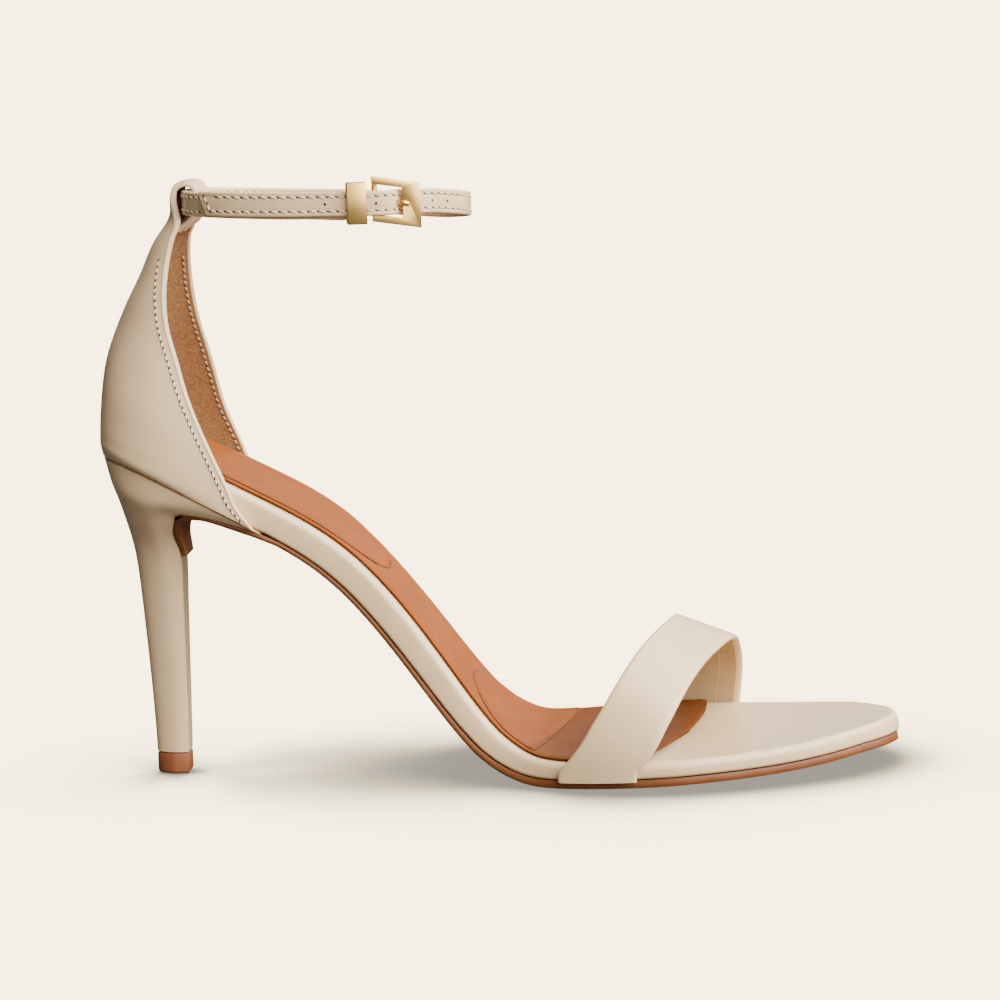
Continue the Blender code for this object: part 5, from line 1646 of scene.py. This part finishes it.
def make_buckle():
    """Brushed frame with round edges, its pin, the prong and the plain keeper."""
    matrix = buckle_matrix()
    half = BUCKLE_HEIGHT / 2.0
    inner = -BUCKLE_STAND
    outer = inner - BUCKLE_THICKNESS
    bar = buckle_bar()
    solid = box_mesh("frame", (-BUCKLE_PIN_RADIUS, outer, -half), (bar + BUCKLE_END_BAR, inner, half), matrix)
    opening = box_mesh("opening", (-BUCKLE_PIN_RADIUS * 4.0, outer * 2.0, -half + BUCKLE_SIDE_BAR),
                       (bar, BUCKLE_THICKNESS, half - BUCKLE_SIDE_BAR), matrix)
    notch = tube_mesh("notch", [matrix @ Vector((bar * 0.8, outer, 0.0)),
                                matrix @ Vector((PRONG_REACH + GAP, outer, 0.0))],
                      [PRONG_RADIUS + GAP] * 2, 24)
    add("gold_frame", shaped("frame", solid, (opening, notch), 0.00038), GOLD, ("buckle_frame",),
        40.0)
    end = half - BUCKLE_SIDE_BAR / 2.0
    pin = [matrix @ Vector((0.0, -BUCKLE_PIN_STAND, z)) for z in np.linspace(-end, end, 5)]
    add("gold_pin", tube_mesh("gold_pin", pin, [BUCKLE_PIN_RADIUS] * 5, 24), GOLD, (), 40.0)
    path = smooth_rows([[tuple(matrix @ Vector(point))] for point in prong_path()], 5)[:, 0]
    radii = []
    for index in range(len(path)):
        share = index / 5.0
        radius = PRONG_RADIUS * (1.36 if share < 1.0 else blend(1.36, 1.0, min(1.0, (share - 1.0) / 1.2)))
        if index < 2:
            radius *= (0.55, 0.9)[index]
        radii.append(radius)
    add("gold_prong", tube_mesh("gold_prong", path, radii, 18), GOLD, ("buckle_prong",), 40.0)
    place = side_frame(keeper_x(), KEEPER_DROP)
    half_length = KEEPER_LENGTH / 2.0
    half_height = KEEPER_HEIGHT / 2.0
    inside = STRAP_THICKNESS / 2.0 + GAP * 2.0
    outside = -(STRAP_THICKNESS * 1.5 + GAP * 5.7)
    body = box_mesh("keeper", (-half_length, outside - KEEPER_WALL, -half_height),
                    (half_length, inside + KEEPER_WALL, half_height), place)
    hole = box_mesh("keeper_hole", (-KEEPER_LENGTH, outside, -half_height + KEEPER_WALL),
                    (KEEPER_LENGTH, inside, half_height - KEEPER_WALL), place)
    add("gold_keeper", shaped("keeper", body, (hole,), 0.00034), GOLD, ("strap_keeper",), 40.0)


# Floor, light and camera
def make_stage():
    """Plain pale floor with a painted shadow near the shoe, under a soft light that comes from above and from the
    toe's side.
    """
    mesh = bpy.data.meshes.new("floor")
    reach = 60.0
    mesh.from_pydata([(-reach, -reach, -0.0001), (reach, -reach, -0.0001), (reach, reach, -0.0001),
                      (-reach, reach, -0.0001)], [], [(0, 1, 2, 3)])
    floor = bpy.data.objects.new("floor", mesh)
    bpy.context.scene.collection.objects.link(floor)
    material = bpy.data.materials.new("pale_floor")
    material.use_nodes = True
    tree = material.node_tree
    tree.nodes.remove(tree.nodes["Principled BSDF"])
    rays = tree.nodes.new("ShaderNodeLightPath")
    seen = tree.nodes.new("ShaderNodeEmission")
    # Painted shadow: ambient occlusion near the shoe darkens the colour the camera sees, from the backdrop colour
    # down to the shaded floor colour
    near = tree.nodes.new("ShaderNodeAmbientOcclusion")
    near.samples = 8
    near.inputs["Distance"].default_value = CONTACT_REACH
    deeper = node_of(tree, "ShaderNodeMath", operation="POWER")
    deeper.inputs[1].default_value = CONTACT_POWER
    tint = tree.nodes.new("ShaderNodeMix")
    tint.data_type = "RGBA"
    tint.inputs["A"].default_value = (*FLOOR_SHADED, 1.0)
    tint.inputs["B"].default_value = (*BACKDROP, 1.0)
    tree.links.new(near.outputs["AO"], deeper.inputs[0])
    tree.links.new(deeper.outputs["Value"], tint.inputs["Factor"])
    tree.links.new(tint.outputs["Result"], seen.inputs["Color"])
    bounced = node_of(tree, "ShaderNodeBsdfDiffuse", Color=(*FLOOR_BOUNCED, 1.0))
    mix = tree.nodes.new("ShaderNodeMixShader")
    tree.links.new(rays.outputs["Is Camera Ray"], mix.inputs["Fac"])
    tree.links.new(bounced.outputs["BSDF"], mix.inputs[1])
    tree.links.new(seen.outputs["Emission"], mix.inputs[2])
    tree.links.new(mix.outputs["Shader"], tree.nodes["Material Output"].inputs["Surface"])
    mesh.materials.append(material)
    world = bpy.data.worlds.new("studio")
    bpy.context.scene.world = world
    world.use_nodes = True
    tree = world.node_tree
    background = tree.nodes["Background"]
    place = tree.nodes.new("ShaderNodeTexCoord")

    def lobe(direction, start, end, strength, colour):
        """Soft light around a direction of the sky."""
        facing = tree.nodes.new("ShaderNodeVectorMath")
        facing.operation = "DOT_PRODUCT"
        facing.inputs[1].default_value = Vector(direction).normalized()
        tree.links.new(place.outputs["Generated"], facing.inputs[0])
        shaped_light = tree.nodes.new("ShaderNodeMapRange")
        shaped_light.interpolation_type = "SMOOTHSTEP"
        shaped_light.inputs["From Min"].default_value = start
        shaped_light.inputs["From Max"].default_value = end
        shaped_light.inputs["To Max"].default_value = strength
        tree.links.new(facing.outputs["Value"], shaped_light.inputs["Value"])
        tint = tree.nodes.new("ShaderNodeVectorMath")
        tint.operation = "SCALE"
        tint.inputs[0].default_value = colour
        tree.links.new(shaped_light.outputs["Result"], tint.inputs["Scale"])
        return tint.outputs["Vector"]

    total = None
    for settings in LIGHTS:
        light = lobe(*settings)
        if total is None:
            total = light
            continue
        both = tree.nodes.new("ShaderNodeVectorMath")
        both.operation = "ADD"
        tree.links.new(total, both.inputs[0])
        tree.links.new(light, both.inputs[1])
        total = both.outputs["Vector"]
    tree.links.new(total, background.inputs["Color"])
    rays = tree.nodes.new("ShaderNodeLightPath")
    backdrop = node_of(tree, "ShaderNodeBackground", Color=(*BACKDROP, 1.0))
    mix = tree.nodes.new("ShaderNodeMixShader")
    tree.links.new(rays.outputs["Is Camera Ray"], mix.inputs["Fac"])
    tree.links.new(background.outputs["Background"], mix.inputs[1])
    tree.links.new(backdrop.outputs["Background"], mix.inputs[2])
    tree.links.new(mix.outputs["Shader"], tree.nodes["World Output"].inputs["Surface"])


# Floor as the camera sees it, with its painted shadow near the shoe, and as it lights the shoe, and the backdrop
# over the horizon
FLOOR_SHADED = (0.44, 0.405, 0.345)
FLOOR_BOUNCED = (0.045, 0.042, 0.037)
BACKDROP = (6.9, 5.75, 3.6)
# Reach and steepness of the floor's painted shadow
CONTACT_REACH = 0.066
CONTACT_POWER = 6.5

LIGHTS = (
    # direction, start, end, strength, colour
    ((0.0, 0.0, 1.0), -1.0, 1.0, 0.03, (1.0, 0.99, 0.97)),
    ((0.70, -0.18, 0.85), 0.62, 0.96, 5.9, (1.0, 0.99, 0.97)),
    ((0.78, -0.54, 0.42), 0.64, 0.86, 4.6, (1.0, 0.985, 0.96)),
    ((0.15, -1.0, 0.16), 0.80, 0.95, 1.7, (1.0, 0.985, 0.96)),
    ((1.0, 0.45, 0.25), 0.35, 1.0, 0.9, (1.0, 0.99, 0.98)),
    ((0.10, 1.0, 0.60), 0.60, 0.95, 0.9, (1.0, 0.99, 0.98)),
)


def make_camera():
    """Camera at the photograph's angle, a little above the shoe and rolled by two degrees."""
    yaw, pitch, roll = (math.radians(angle) for angle in (3.7, 8.3, 1.9))
    ahead = Vector((-math.sin(yaw) * math.cos(pitch), math.cos(yaw) * math.cos(pitch), -math.sin(pitch)))
    level = Vector((math.cos(yaw), math.sin(yaw), 0.0))
    upright = level.cross(ahead)
    right = level * math.cos(roll) - upright * math.sin(roll)
    up = level * math.sin(roll) + upright * math.cos(roll)
    data = bpy.data.cameras.new("camera")
    data.lens = 115.2
    data.sensor_width = 36.0
    camera = bpy.data.objects.new("camera", data)
    turn = Matrix((right, up, -ahead)).transposed().to_4x4()
    camera.matrix_world = Matrix.Translation((0.1505, -0.8731, 0.2026)) @ turn
    bpy.context.scene.collection.objects.link(camera)
    bpy.context.scene.camera = camera


make_camera()
make_stage()
make_board()
make_sock()
make_outsole()
make_heel()
make_heel_tip()
make_counter()
make_toe_strap()
make_ankle_strap()
make_buckle()
